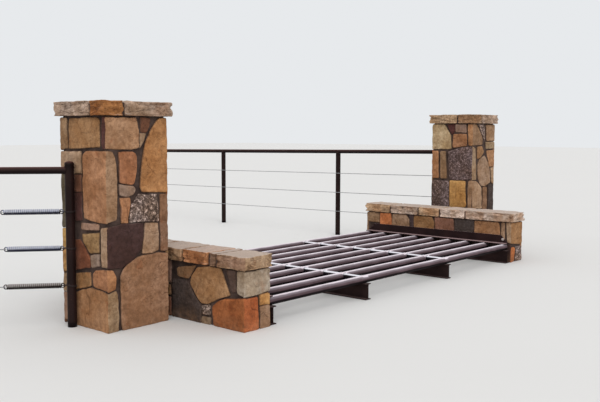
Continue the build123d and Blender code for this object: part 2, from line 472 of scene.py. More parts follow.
# %% Steel of the grid and the fences
spacer_rows = [float(box[row][:, 0].mean()) for row in ("near_spacers", "far_spacers")]
# grid pipes: black underneath as dirt and painted shade, a pale crest of dust and painted highlight
grid_steel = painted_steel(
    "grid_pipe_paint", DIRT_AND_SHADE, (0.098, 0.064, 0.072), (0.190, 0.154, 0.170), (0.74, 0.665, 0.71),
    0.88, 0.7, 0.06, spacer_rows,
)
# spacers: underside and flank near black as painted shade, top nearly white as painted reflection of
# the sky over a little dust
spacer_steel = painted_steel(
    "spacer_paint", (0.004, 0.003, 0.005), (0.008, 0.006, 0.008), (0.030, 0.025, 0.028),
    (0.80, 0.78, 0.83), 0.71, 0.75, 0.05,
)
# beams, angles and fences: darker underneath and lighter on top, painted shade and highlight by the
# way they face
beam_steel = painted_steel(
    "beam_paint", DIRT_AND_SHADE, (0.024, 0.013, 0.012), (0.036, 0.022, 0.020), (0.090, 0.062, 0.058),
    0.9, 0.7, 0.08,
)
angle_steel = painted_steel(
    "angle_paint", DIRT_AND_SHADE, (0.022, 0.010, 0.010), (0.06, 0.035, 0.034), (0.36, 0.25, 0.25),
    0.88, 0.6, 0.08,
)
fence_steel = painted_steel(
    "fence_paint", (0.007, 0.003, 0.003), (0.017, 0.008, 0.007), (0.046, 0.018, 0.015),
    (0.12, 0.052, 0.044), 0.9, 0.5, 0.10,
)
finish_of = {
    "spacers": spacer_steel,
    "beam": beam_steel,
    "stringer": beam_steel,
    "angle": angle_steel,
    "fence": fence_steel,
}
for node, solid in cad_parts.items():
    for word, finish in finish_of.items():
        if word in node:
            for place in solid.material_slots:
                place.material = finish
print("steel finishes:", len(set(finish_of.values())) + 1)

# %% [markdown]
# ## Sandstone and mortar
# The walls are split sandstone set in recessed mortar. A stone's own colour comes from the
# attribute stone_tint, one colour for each stone. Over it the finish lays what every piece of
# this stone has: cloudy iron stains, faint bedding bands, dark pits and a sandy grain, and
# with them painted shade in the hollows of its relief and painted highlight on its ridges. The
# mortar has two depths: the one between stones, and a nearly black one in the deep gap
# between a wall and its pillar, which is painted shadow for that gap.

# %% Washes and veins
def times(finish, colour, factor, low, high):
    """A colour multiplied by something between two tints, picked by a factor from 0 to 1."""
    return finish.blend(1.0, colour, finish.blend(factor, low, high), "MULTIPLY")


def vein(finish, per_metre, width, stretch=(1, 1, 1)):
    """A winding line, 1 along the middle value of a noise and 0 away from it."""
    field = finish.patches(per_metre, detail=3.0, rough=0.5, stretch=stretch)
    return field.step(0.5 - width, 0.5) - field.step(0.5, 0.5 + width)


# %% Sandstone
UNCHANGED = (1, 1, 1)
SPLASHED_DIRT = (0.235, 0.125, 0.066)
BLEACHED = (0.50, 0.41, 0.35)


def sandstone(name, weathered=0, relief_depth=0.010, relief_shade=0.25, bed=(1, 1, 1.5), seams=0):
    """Stone tint with iron clouds, bedding, mottles, cracks, pits and a sandy grain.

    Weathered is how much a surface that faces the sky is bleached, and relief_shade how much
    its hollows are painted darker as shade and its ridges painted lighter as highlight. Bed
    stretches the relief along the bedding, and seams cuts grooves between the beds with
    painted shade in them. Rain splashes dirt on the lowest hand's breadth. Each wash is a
    factor and the two tints that it picks between.
    """
    stone = Finish(name)
    kind = {"attribute_name": "stone_tint"}
    colour = stone.node("ShaderNodeAttribute", kind, out="Color")
    plain = stone.node("ShaderNodeAttribute", kind, out="Alpha")
    clouds = stone.patches(5.0, detail=4.0, rough=0.6).step(0.32, 0.68)
    bedding = stone.patches(5.0, detail=4.0, rough=0.6, stretch=(0.6, 0.6, 2.4)).step(0.34, 0.66)
    mottle = stone.patches(26.0, detail=6.0, rough=0.72).step(0.30, 0.70)
    iron = stone.patches(9.0, detail=5.0, rough=0.65).step(0.58, 0.70)
    pits = stone.patches(62.0, detail=3.0, rough=0.7).step(0.61, 0.70)
    rare = stone.patches(3.0, detail=1.0).step(0.52, 0.64)
    crack = vein(stone, 2.2, 0.006, (1, 1, 0.6)) * rare
    broken = stone.patches(26.0, detail=6.0, rough=0.68, stretch=bed)
    facing = stone.upward_facing().step(0.45, 0.95)
    seam = vein(stone, 8.0, 0.016, bed) * (1 - facing)
    # the last three washes are painted light: shade in hollows and seams, highlight on ridges
    washes = [
        (clouds, (0.84, 0.76, 0.66), (1.16, 1.19, 1.24)),
        (bedding, (0.90, 0.88, 0.86), (1.08, 1.08, 1.09)),
        (mottle, (0.74, 0.70, 0.66), (1.22, 1.23, 1.25)),
        (iron * 0.5, UNCHANGED, (0.86, 0.62, 0.50)),
        (pits * 0.5, UNCHANGED, (0.45, 0.36, 0.32)),
        (crack * 0.6, UNCHANGED, (0.34, 0.26, 0.23)),
        ((1 - broken.step(0.34, 0.47)) * relief_shade, UNCHANGED, (0.42, 0.36, 0.33)),
        (broken.step(0.54, 0.64) * relief_shade, UNCHANGED, (1.36, 1.36, 1.38)),
        (seam * seams, UNCHANGED, (0.28, 0.22, 0.19)),
    ]
    for factor, low, high in washes:
        colour = times(stone, colour, factor, low, high)
    shells = stone.patches(40.0, detail=6.0, rough=0.85)
    flecks = stone.blend(shells.step(0.46, 0.55), (0.22, 0.20, 0.20), UNCHANGED)
    flecks = stone.blend(shells.step(0.545, 0.61), flecks, (2.9, 3.1, 3.3))
    colour = stone.blend(1 - plain, colour, flecks, "MULTIPLY")
    low = 1 - stone.part(stone.place, "Z").step(0.0, 0.14)
    splash = low * stone.patches(14.0, detail=4.0, rough=0.7).step(0.30, 0.75)
    colour = stone.blend(splash * 0.55, colour, SPLASHED_DIRT)
    colour = stone.blend(facing * weathered, colour, BLEACHED)
    sand = stone.patches(420.0, detail=2.0, rough=0.8)
    colour = times(stone, colour, sand.step(0.3, 0.7), (0.90, 0.90, 0.90), (1.1, 1.1, 1.1))
    flake = stone.patches(4.5, detail=4.0, rough=0.55).step(0.500, 0.522)
    ledges = stone.bump(broken - 0.5 * seams * seam, relief_depth, 0.9)
    lumps = stone.bump(flake, 0.004, 1.0, ledges)
    relief = 0.8 * stone.patches(110.0, detail=4.0, rough=0.7) + 0.2 * sand
    normal = stone.bump(relief - 0.5 * pits - 1.5 * crack, 0.0022, 0.8, lumps)
    return stone.surface(colour, 0.86 + 0.1 * mottle, normal, 0.25)


wall_stone = sandstone("wall_sandstone")
cap_stone = sandstone("coping_sandstone", 0.8, 0.024, 0.75, bed=(0.5, 0.5, 1.5), seams=0.45)

# %% Mortar
def old_mortar(name, dark, light):
    """Sandy cement in two tones, lumpy from the trowel."""
    cement = Finish(name)
    cloud = cement.patches(12.0, detail=5.0).step(0.3, 0.75)
    tone = cement.blend(cloud, dark, light)
    sand = cement.patches(260.0, detail=4.0, rough=0.75)
    lumps = cement.bump(cement.patches(55.0, detail=5.0), 0.006, 0.8)
    normal = cement.bump(sand, 0.0015, 0.7, lumps)
    return cement.surface(tone, 0.95, normal, 0.2)


mortar = old_mortar("recessed_mortar", (0.036, 0.022, 0.018), (0.090, 0.058, 0.046))
# nearly black mortar for the deep gap beside each pillar: painted shadow
deep_mortar = old_mortar("deep_mortar", (0.005, 0.003, 0.003), (0.012, 0.008, 0.007))
for node in ("near_wall_joint", "far_wall_joint"):
    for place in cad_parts[node].material_slots:
        place.material = deep_mortar

# %% [markdown]
# ## A palette for the stones
# The quarry's colours run from cream through golden tan to rust red and a purple so dark that
# it is almost black. Naming them once makes every list of stones below readable.

# %% Palette
STONE = {
    "cream": (0.310, 0.205, 0.132),
    "light_tan": (0.370, 0.250, 0.155),
    "pale_sand": (0.480, 0.375, 0.300),
    "chalk": (0.600, 0.470, 0.385),
    "pale_gold": (0.430, 0.290, 0.175),
    "pale_grey": (0.350, 0.270, 0.205),
    "pale_olive": (0.370, 0.315, 0.250),
    "grey_sand": (0.368, 0.266, 0.197),
    "grey_tan": (0.325, 0.210, 0.125),
    "straw": (0.310, 0.193, 0.103),
    "pink_tan": (0.290, 0.180, 0.120),
    "pink_grey": (0.260, 0.185, 0.140),
    "tan": (0.300, 0.190, 0.112),
    "brown_tan": (0.240, 0.138, 0.078),
    "warm_brown": (0.305, 0.170, 0.098),
    "golden": (0.285, 0.158, 0.068),
    "warm_gold": (0.315, 0.185, 0.086),
    "deep_gold": (0.420, 0.235, 0.082),
    "bright_gold": (0.500, 0.290, 0.100),
    "orange_tan": (0.350, 0.175, 0.085),
    "red_tan": (0.338, 0.152, 0.071),
    "pale_orange": (0.345, 0.205, 0.110),
    "orange": (0.375, 0.175, 0.076),
    "burnt_gold": (0.330, 0.145, 0.050),
    "burnt_orange": (0.410, 0.190, 0.087),
    "rust": (0.350, 0.110, 0.037),
    "dark_rust": (0.205, 0.074, 0.040),
    "bright_rust": (0.520, 0.190, 0.070),
    "red_brown": (0.150, 0.062, 0.036),
    "deep_red": (0.120, 0.053, 0.028),
    "warm_red": (0.240, 0.112, 0.074),
    "maroon": (0.085, 0.032, 0.025),
    "purple_brown": (0.098, 0.060, 0.050),
    "chocolate": (0.057, 0.029, 0.023),
    "charcoal": (0.064, 0.045, 0.040),
    "speckled": (0.270, 0.205, 0.172),
    "dark_speckled": (0.150, 0.108, 0.097),
    "olive": (0.105, 0.080, 0.055),
}
print("stone colours:", len(STONE))

# %% [markdown]
# ## One stone
# A stone could be a bevelled polygon, but split stone has no straight edge and no even bevel.
# Here each stone is a pillow over its outline: rings shrink from the outline to its middle,
# and the height at each point depends on how far that point is from the outline, less a few flat
# facets as a hammer leaves them. Then a noise in space moves the points, so two faces of one
# corner stone stay joined along their arris.

# %% Outline of a stone
OUTLINE_POINTS = (24, 130)


def even_outline(corners, step):
    """The same closed line with points at even distances, its sharp corners worn round.

    Each point becomes a fifth of the sum of its two neighbours and three times itself.
    """
    closed = np.vstack([corners, corners[:1]])
    run = np.concatenate([[0], np.cumsum(np.linalg.norm(np.diff(closed, axis=0), axis=1))])
    count = int(np.clip(run[-1] / step, *OUTLINE_POINTS))
    at = np.linspace(0, run[-1], count, endpoint=False)
    points = np.stack([np.interp(at, run, closed[:, k]) for k in (0, 1)], axis=1)
    return (np.roll(points, 1, axis=0) + 3 * points + np.roll(points, -1, axis=0)) / 5


def distance_to_sides(points, starts, ends):
    """The least distance from each point to a set of straight sides."""
    along = ends - starts
    length = np.maximum((along**2).sum(axis=1), 1e-12)
    reach = np.einsum("pij,ij->pi", points[:, None] - starts, along) / length
    nearest = starts + np.clip(reach, 0, 1)[..., None] * along
    return np.linalg.norm(points[:, None] - nearest, axis=2).min(axis=1)


# %% Face of a stone
EDGE_WIDTH = 0.011
EDGE_DROP = 0.011
ARRIS_ROUND = 0.010
ARRIS_EASE = 0.07
FACE_SET_BACK = 0.001
FACE_TILT = 0.016
FACE_SINK = (0.000, 0.004)
FACE_WAVE = 0.003
FACETS = 4
FACET_START = (0.3, 0.8)
FACET_DEPTH = (0.004, 0.012)


def face_height(flat, middle, away, from_arris, seed):
    """How far each point of a stone stands out from the plane of its face.

    Near a joint the height falls in a quarter round, as wide as the edge is worn there. To
    this are added a slight tilt, slow waves and a few facets, each a slope that starts part of
    the way out from the middle. All three fade towards an arris, where the height follows the
    round that two faces of a corner share.
    """
    chance = np.random.default_rng(seed)
    spot = np.column_stack([flat, np.full(len(flat), float(seed))])
    wear = EDGE_WIDTH * (1 + 0.6 * lattice_noise(spot, 0.05, seed))
    near = 1 - np.clip(away / wear, 0, 1)
    height = -EDGE_DROP * (1 - np.sqrt(np.clip(1 - near**2, 0, 1)))
    tilt = chance.normal(0, FACE_TILT, 2)
    ease = np.clip(from_arris / ARRIS_EASE, 0, 1)
    height += ease * ((flat - middle) @ tilt - chance.uniform(*FACE_SINK))
    height += ease * FACE_WAVE * lattice_noise(spot, 0.12, seed + 3)
    for turn in chance.uniform(0, 2 * math.pi, FACETS):
        reach = (flat - middle) @ (math.cos(turn), math.sin(turn))
        beyond = np.maximum(reach / reach.max() - chance.uniform(*FACET_START), 0)
        height -= ease * beyond * chance.uniform(*FACET_DEPTH)
    bite = np.clip(ARRIS_ROUND - from_arris, 0, ARRIS_ROUND)
    height -= ARRIS_ROUND - np.sqrt(ARRIS_ROUND**2 - bite**2)
    return height - FACE_SET_BACK


# %% Stone surface
STONE_TAIL = 0.030
ARRIS_LOSS = 0.29
BACK_SHRINK = 0.92
BACK_INSET = 1.6 * STONE_TAIL
RINGS = np.array([1, 0.985, 0.965, 0.94, 0.91, 0.87, 0.81, 0.73, 0.63, 0.51, 0.38, 0.24, 0.1, 0])


def stone_surface(corners, width, seed, step):
    """A stone in its face's own coordinates: along the face, up, and out.

    Each ring is the outline drawn in towards the middle, with its own heights. Behind the
    outermost ring the surface goes straight back into the mortar and closes in the middle.
    The distance of each point from the nearest joint is handed back too.
    """
    outline = even_outline(np.array(corners, float), step)
    least, most = ARRIS_LOSS * ARRIS_ROUND, width - ARRIS_LOSS * ARRIS_ROUND
    outline[:, 0] = np.clip(outline[:, 0], least, most)
    following = np.roll(outline, -1, axis=0)
    on_arris = np.zeros(len(outline), bool)
    for edge in (least, most):
        on_arris |= (abs(outline[:, 0] - edge) < 1e-3) & (abs(following[:, 0] - edge) < 1e-3)
    middle = outline.mean(axis=0)
    flat = (middle + RINGS[:, None, None] * (outline - middle)).reshape(-1, 2)
    away = distance_to_sides(flat, outline[~on_arris], following[~on_arris])
    from_arris = np.minimum(flat[:, 0], width - flat[:, 0])
    height = face_height(flat, middle, away, from_arris, seed)
    face = np.column_stack([flat, height]).reshape(len(RINGS), len(outline), 3)
    back = middle + BACK_SHRINK * (outline - middle)
    back[:, 0] = np.clip(back[:, 0], BACK_INSET, width - BACK_INSET)
    rim = np.column_stack([back, np.full(len(outline), -STONE_TAIL)])
    close = np.broadcast_to([*back.mean(axis=0), -STONE_TAIL], rim.shape)
    points = np.concatenate([[close, rim], face]).reshape(-1, 3)
    away = np.concatenate([np.zeros(2 * len(outline)), away])
    return points, grid_faces(len(RINGS) + 2, len(outline), round_columns=True), away


# %% [markdown]
# ## A face of stones
# Each upright face of a pillar or wall has its own directions: along it, up, and out. On the
# faces that the viewer sees, the stones are laid out one by one, as in the real wall. On the
# others a rectangle is split again and again by slightly slanted cuts until the pieces have
# the size of a stone, which gives the same mixture of tall, square and narrow ones.

# %% Faces
TOP_JOINT = 0.016


class Face:
    """One upright face: where it starts, its direction along, its outward direction, its size."""

    def __init__(self, start, along, outward, width, height):
        self.start = np.array(start, float)
        self.along = np.array(along, float)
        self.outward = np.array(outward, float)
        self.width, self.height = width, height

    def to_space(self, points):
        """Face coordinates to the object's: along, up and out are added up."""
        return (
            self.start
            + points[:, :1] * self.along
            + points[:, 1:2] * upward
            + points[:, 2:3] * self.outward
        )

    def from_picture(self, pixels, snap):
        """A stone's corners in the picture, carried to this face and drawn to its edges."""
        axis = int(np.argmax(abs(self.outward)))
        place = picture_to_plane(pixels, axis, self.start[axis])
        flat = np.column_stack([(place - self.start) @ self.along, place[:, 2] - self.start[2]])
        for edge, column in ((0, 0), (self.width, 0), (0, 1), (self.height, 1)):
            close = abs(flat[:, column] - edge) < snap
            flat[close, column] = edge
        flat[:, 0] = np.clip(flat[:, 0], 0, self.width)
        flat[:, 1] = np.clip(flat[:, 1], 0, self.height - TOP_JOINT)
        return flat


def pillar_faces(low, high):
    """The four faces of an upright block, each running anticlockwise as seen from above."""
    (x0, y0, z0), (x1, y1, z1) = low, high
    wide, deep, tall = x1 - x0, y1 - y0, z1 - z0
    return {
        "west": Face((x0, y1, z0), (0, -1, 0), (-1, 0, 0), deep, tall),
        "south": Face((x0, y0, z0), (1, 0, 0), (0, -1, 0), wide, tall),
        "east": Face((x1, y0, z0), (0, 1, 0), (1, 0, 0), deep, tall),
        "north": Face((x1, y1, z0), (-1, 0, 0), (0, 1, 0), wide, tall),
    }


# %% Splitting
JOINT = 0.013
AREA_SPREAD = (0.45, 1.7)
LEAST_SIDE = 0.13
MOST_SLENDER = 2.2
CUT_ACROSS = (0.75, 1.25)
CUT_SLANT = 0.09
CUT_PLACE = (0.36, 0.64)


def cut(corners, place, normal):
    """The part of a convex outline that lies behind a line through a place."""
    side = (corners - place) @ normal
    following, next_side = np.roll(corners, -1, axis=0), np.roll(side, -1)
    kept = []
    for here, there, a, b in zip(corners, following, side, next_side):
        if a <= 0:
            kept.append(here)
        if a * b < 0:
            kept.append(here + (there - here) * a / (a - b))
    return np.array(kept)


def outline_area(corners):
    """Half of the sum of the cross products around the outline."""
    x, y = corners.T
    return abs(np.dot(x, np.roll(y, -1)) - np.dot(y, np.roll(x, -1))) / 2


def split_stones(corners, chance, usual):
    """Splits an outline until each piece is near the usual area, with a joint at each cut.

    A piece that is small enough is cut once more if it is too slender.
    """
    size = np.ptp(corners, axis=0)
    if outline_area(corners) < usual * chance.uniform(*AREA_SPREAD) or size.min() < LEAST_SIDE:
        if size.max() < MOST_SLENDER * max(size.min(), 0.10):
            return [corners]
    lengthwise = size[0] > size[1] * chance.uniform(*CUT_ACROSS)
    slant = chance.normal(0, CUT_SLANT)
    normal = np.array([1.0, slant]) if lengthwise else np.array([slant, 1.0])
    normal /= np.linalg.norm(normal)
    place = corners.min(axis=0) + size * chance.uniform(*CUT_PLACE)
    halves = [
        cut(corners, place - normal * JOINT / 2, normal),
        cut(corners, place + normal * JOINT / 2, -normal),
    ]
    return [s for half in halves if len(half) > 2 for s in split_stones(half, chance, usual)]


ANY_STONE = ["tan", "golden", "orange_tan", "brown_tan", "grey_tan", "pink_tan", "rust"]
ANY_STONE += ["chocolate", "speckled", "orange", "light_tan", "red_brown"]
# the darkest colours, for the foot of the far wall under the angle and the pipes
DARK_FOOT_STONE = ["chocolate", "charcoal", "maroon"]


def stones_for(face, right, high, seed, usual, names):
    """Split stones for a face from its lower left corner, as far as right and high."""
    corners = np.array([(0, 0), (right, 0), (right, high), (0, high)], float)
    chance = np.random.default_rng(seed)
    return [(chance.choice(names), face, stone) for stone in split_stones(corners, chance, usual)]


def grown(corners, more):
    """An outline pushed out by a little at every corner, away from its middle."""
    out = corners - corners.mean(axis=0)
    return corners + more * out / np.linalg.norm(out, axis=1, keepdims=True)


# %% [markdown]
# ## A rough block
# Mortar cores, coping stones and cap stones are all blocks with worn edges. A cube with a
# bevel would do for machined stone; here the six sides are grids, every point is pulled to an
# inner box and pushed back out by the rounding, and noise then breaks the surface.

# %% Block surface
def stations(length, rounding, cell):
    """Positions along one side: close together in the rounding, evenly apart between."""
    count = max(int(math.ceil((length - 2 * rounding) / cell)), 1) + 1
    between = np.linspace(rounding, length - rounding, count)
    edge = rounding * np.array([0, 0.3, 0.65])
    return np.concatenate([edge, between, length - edge[::-1]])


def block_surface(low, high, cell, rounding):
    """A box with round edges: the nearest point of an inner box, plus the rounding outwards."""
    low, high = np.array(low, float), np.array(high, float)
    size = high - low
    parts = []
    for axis in range(3):
        a, b = (axis + 1) % 3, (axis + 2) % 3
        u, v = np.meshgrid(
            stations(size[a], rounding, cell), stations(size[b], rounding, cell), indexing="ij"
        )
        for side in (0, 1):
            points = np.empty(u.shape + (3,))
            points[..., axis], points[..., a], points[..., b] = side * size[axis], u, v
            faces = grid_faces(*u.shape)
            parts.append((low + points.reshape(-1, 3), faces if side else faces[:, ::-1]))
    points, faces = together(parts)
    inner = np.clip(points, low + rounding, high - rounding)
    out = points - inner
    points = inner + rounding * out / np.linalg.norm(out, axis=1, keepdims=True)
    return facing_out(points, faces)


# %% [markdown]
# ## The masonry of one body
# A pillar or a wall is a core of mortar with stones laid around it. The stones could be cut
# out of one block, but laid one by one they keep their own outline, colour and depth. All of
# them become one piece, because they share a finish, and the mortar becomes another.

# %% Colours of a stone
PALE_BAND_AT, PALE_BAND_WIDTH, PALE_BAND = 0.011, 0.004, 0.45
SMEAR = np.array([0.100, 0.068, 0.056])
SMEAR_WIDTH, SMEAR_COVER = 0.006, 0.6
PLAINNESS = {"speckled": 0.05, "dark_speckled": 0.35, "charcoal": 0.8}


def stone_tint(points, away, colour, number, chance):
    """A colour for each point: the stone's own, made a little lighter or darker by a noise.

    A band just inside the rim is paler, by a bell curve of the distance from the joint: the
    stone is chipped there, and a painted highlight stands for the worn edge catching light.
    The rim itself goes towards the colour of smeared mortar. The fourth value says how
    plain the stone is: 1 has no flecks, 0 is full of them.
    """
    shade = chance.normal(1.0, 0.04) * (1 + 0.12 * lattice_noise(points, 0.11, number))
    tint = shade[:, None] * np.array(STONE[colour]) * chance.normal(1.0, 0.03, 3)
    # pale band: chipped stone, and a painted highlight along the worn edge
    band = np.exp(-(((away - PALE_BAND_AT) / PALE_BAND_WIDTH) ** 2))
    band *= np.clip(lattice_noise(points, 0.05, 8), 0, 1)
    tint *= 1 + PALE_BAND * band[:, None]
    reach = SMEAR_WIDTH * (1 + lattice_noise(points, 0.04, 5))
    smear = 1 - np.clip(away / reach, 0, 1)
    tint += SMEAR_COVER * smear[:, None] * (SMEAR - tint)
    return np.column_stack([tint, np.full(len(points), PLAINNESS.get(colour, 1.0))])


# %% Masonry of a body
STONE_ROUGHNESS = ((0.070, 0.0034), (0.028, 0.0020), (0.012, 0.0010))
MORTAR_ROUGHNESS = ((0.06, 0.003), (0.02, 0.0015))
MORTAR_DEPTH, MORTAR_CELL, MORTAR_ROUND = 0.019, 0.03, 0.006


def masonry(node, stones, low, high, seed, step):
    """All stones of one body as one piece, and its mortar core as another.

    Noises in space roughen both. The stones stay inside the body's box, and the mortar is a
    block that stands back from its sides.
    """
    parts, tints = [], []
    chance = np.random.default_rng(seed)
    for number, (colour, face, corners) in enumerate(stones):
        points, faces, away = stone_surface(corners, face.width, seed * 100 + number, step)
        points, faces = facing_out(face.to_space(points), faces)
        tints.append(stone_tint(points, away, colour, number, chance))
        parts.append((points, faces))
    points, faces = together(parts)
    points = np.clip(points + space_shift(points, STONE_ROUGHNESS, seed), low, high)
    name = f"{node}_stones"
    make_piece(name, (points, faces), wall_stone, node, np.vstack(tints))
    inset = np.array([MORTAR_DEPTH, MORTAR_DEPTH, 0.0])
    points, faces = block_surface(low + inset, high - inset, MORTAR_CELL, MORTAR_ROUND)
    points = points + space_shift(points, MORTAR_ROUGHNESS, seed + 1) * (1.0, 1.0, 0.0)
    make_piece(f"{name}_mortar", (points, faces), mortar, node)


# %% All sides of a body
ALONG, UP = 0, 1
STONE_STEP, FAR_STEP = 0.012, 0.019
PILLAR_STONE_AREA, TRACE_GROWTH = 0.035, 0.009


def lay_stones(
    node, seed, seen, hidden, snap, usual=PILLAR_STONE_AREA, more=TRACE_GROWTH, step=STONE_STEP
):
    """Lays all four faces of a body: first the traced stones, then split ones.

    Seen has a table of traced stones for each side in view: a colour and the corners in the
    picture. Hidden has a seed and the names of colours for each side to be split. Where a side
    is in view only in part, its row also says in which direction the split stones come before
    the traced ones, and they end one joint short of the first.
    """
    low, high = box[node]
    faces = pillar_faces(low, high)
    stones = []
    for side, rows in seen.items():
        for colour, pixels in rows.values():
            corners = grown(faces[side].from_picture(pixels, snap), more)
            stones.append((colour, faces[side], corners))
    for side, (fill_seed, before, names) in hidden.items():
        face = faces[side]
        ends = [face.width, face.height - TOP_JOINT / 2]
        if before is not None:
            drawn = np.vstack([corners for _, place, corners in stones if place is face])
            ends[before] = drawn[:, before].min() - JOINT
            print(node, side, "is split as far as", np.round(ends, 3).tolist())
        stones += stones_for(face, *ends, fill_seed, usual, names)
    masonry(node, stones, low, high, seed, step)


# %% [markdown]
# ## The near pillar
# The near pillar is the tallest thing in view, so its two visible faces are laid out stone by
# stone: each row below names a stone, its colour and its corners in the picture. A corner
# stone shows on both faces, and its two outlines share the arris. The other two faces, which
# the viewer can't see, are split at random from a fixed seed.

# %% West side of the near pillar
near_pillar_west = {
    "edge_top": ("tan", [(58.5, 118), (65.6, 117.6), (66.6, 147.6), (59, 148.2)]),
    "ochre_square": ("golden", [(67.6, 117.6), (95, 117.2), (97.6, 121), (98, 147), (68.6, 148.4)]),
    "dark_corner": ("maroon", [(100.4, 118), (105.6, 118), (106, 149), (100.6, 148.6)]),
    "behind_rail": ("light_tan", [(57, 151.8), (79.6, 151.4), (80.2, 173), (58, 173)]),
    "tall_corner": ("orange_tan", [
        (82.2, 156), (85, 152.2), (106.1, 152.2), (107.2, 224), (95, 222), (82.6, 218)]),
    "red_strip": ("red_brown", [(70.5, 175), (80.2, 175), (80.4, 191.4), (70.6, 191.8)]),
    "maroon_strip": ("maroon", [(70.6, 193.6), (80.5, 193.2), (80.6, 219.6), (71, 220.4)]),
    "olive_edge": ("olive", [(59, 175), (69, 175), (69.4, 226), (61, 226)]),
    "pink_flat": ("pink_tan", [(79.2, 222.6), (97, 224.4), (98.4, 230.6), (79.6, 229.6)]),
    "gold_middle": ("golden", [(81.4, 234.4), (97.6, 233.2), (98.3, 253), (89.2, 252.6), (83, 244)]),
    "rust_wedge": ("dark_rust", [
        (70.8, 240), (79.4, 240.6), (88.6, 257), (88.8, 267.4), (71.4, 269.6)]),
    "pale_small": ("pink_grey", [(90.2, 255.6), (98.2, 254.8), (98.4, 266), (90.4, 267.6)]),
    "cream_corner": ("cream", [(100, 229.4), (107.4, 229), (108, 267.6), (100, 267.2)]),
    "left_gold_upper": ("deep_gold", [(61, 228.4), (69, 228.4), (69.4, 247), (61.6, 247.6)]),
    "left_gold_lower": ("deep_gold", [(61.4, 249.4), (69.2, 249.4), (69.6, 270), (62, 270)]),
    "olive_gold": ("golden", [(71.6, 273.4), (89, 272.8), (90, 286.4), (72, 289.4)]),
    "orange_corner": ("red_tan", [
        (92, 275), (94.6, 271.2), (108.1, 271.2), (108.4, 292.4), (100, 289.4), (92.2, 286.6)]),
    "left_low": ("grey_tan", [(62.4, 273), (69.6, 273.4), (70, 290), (63, 290)]),
    "left_foot": ("pink_tan", [(63.4, 292), (72.4, 292.6), (73.4, 321), (64.4, 318)]),
    "foot_corner": ("orange_tan", [
        (75, 292.8), (83, 289.8), (91, 289), (100, 292), (108.4, 295.6), (109, 334), (75.6, 322)]),
}

# %% South side of the near pillar
near_pillar_south = {
    "cracked": ("pale_orange", [
        (105.6, 118.4), (136.6, 118.2), (138.6, 131), (139.4, 147.4), (131, 148.8), (106, 149)]),
    "small_red": ("deep_red", [(141.2, 119), (150.6, 118.4), (150, 126), (147.6, 132), (142, 132)]),
    "light_point": ("cream", [(140.5, 133.6), (147, 134), (144.4, 141), (141, 148.4)]),
    "big_orange": ("orange", [
        (159.6, 119.6), (167.4, 118.6), (168.6, 191.8), (143, 191), (140.6, 186), (141, 174),
        (143.4, 158), (146.4, 143.4), (150.6, 132), (154.4, 126)]),
    "tall_corner": ("straw", [
        (106.1, 152.2), (113.6, 152.4), (116.4, 157), (117.2, 180), (118.4, 219), (107.2, 224)]),
    "red_taper": ("red_tan", [
        (119.8, 152.6), (138.6, 152.2), (137, 169), (134.6, 183), (132.6, 184.4), (120.4, 182.4)]),
    "pink_small": ("pink_grey", [
        (120.6, 184.6), (134, 186.6), (137, 190), (134, 194.4), (129, 196.2), (121, 195.2)]),
    "orange_finger": ("orange_tan", [
        (121.6, 198.4), (131.4, 198.4), (131.2, 204), (129.6, 214), (129, 222.4), (122.6, 222.8)]),
    "speckled_square": ("speckled", [
        (139.6, 194.6), (157.4, 194.6), (159, 221), (131, 222.4), (130.6, 215), (133, 206)]),
    "tall_edge": ("brown_tan", [(160.6, 195.2), (169, 194), (170.2, 249.6), (161.4, 250.6)]),
    "chocolate_block": ("chocolate", [
        (107.4, 229.6), (116, 226.6), (125, 224.6), (144.4, 223.6), (143.6, 236), (142.4, 249),
        (133, 260), (122, 268.4), (108, 268.4)]),
    "pale_square": ("grey_tan", [
        (145.8, 224), (159, 223.4), (159.8, 250), (152, 252.4), (143.6, 253)]),
    "orange_corner": ("orange", [
        (108.1, 271.2), (113.6, 271.6), (116.4, 278), (116.8, 289.6), (108.4, 292.4)]),
    "big_brown": ("warm_brown", [
        (143.6, 256), (160, 253.2), (171, 253.4), (172, 331), (124, 336), (122.4, 320),
        (121.2, 276), (123, 271), (129, 265), (137, 259)]),
    "foot_corner": ("grey_tan", [
        (108.4, 295.6), (117.6, 291.8), (118.8, 305), (120.2, 336), (109, 336)]),
}

# %% Near pillar stones
PILLAR_SNAP = 0.028
lay_stones(
    "near_pillar", 1, {"west": near_pillar_west, "south": near_pillar_south},
    {"east": (41, None, ANY_STONE), "north": (42, None, ANY_STONE)}, PILLAR_SNAP,
)

# %% [markdown]
# ## The near low wall
# The low wall shows its outer face beside the pillar and its end face. What stands behind the
# pillar is split at random, like the face over the grid.

# %% Near wall stones
near_wall_west = {
    "small_gold": ("brown_tan", [(176.6, 267.6), (195, 266.4), (190, 274), (187.4, 278), (177, 276)]),
    "hexagon": ("warm_gold", [
        (196.6, 268), (207, 268.6), (219.4, 270.6), (229.2, 295.4), (215, 299.4), (207, 303.4),
        (200.4, 303.4), (188, 283.4), (190.6, 276)]),
    "brown_strip": ("purple_brown", [(225, 271.4), (234.4, 272.6), (234.8, 292), (230.6, 292)]),
    "corner_block": ("pale_grey", [(236.2, 273.4), (245.6, 272.8), (245.6, 297.6), (236.6, 293.4)]),
    "dark_slab": ("charcoal", [
        (172, 279), (186, 280.4), (188, 287), (200, 306), (200, 322), (172, 325)]),
    "small_grey": ("speckled", [(201.6, 306), (209, 305), (209.6, 314.6), (202, 314)]),
    "shell": ("pink_grey", [(201.4, 316.4), (209, 318), (209, 329), (201, 328)]),
    "orange_corner": ("rust", [
        (211, 307), (216, 302.6), (224, 300), (245.8, 299.6), (246, 330), (212.4, 331)]),
}
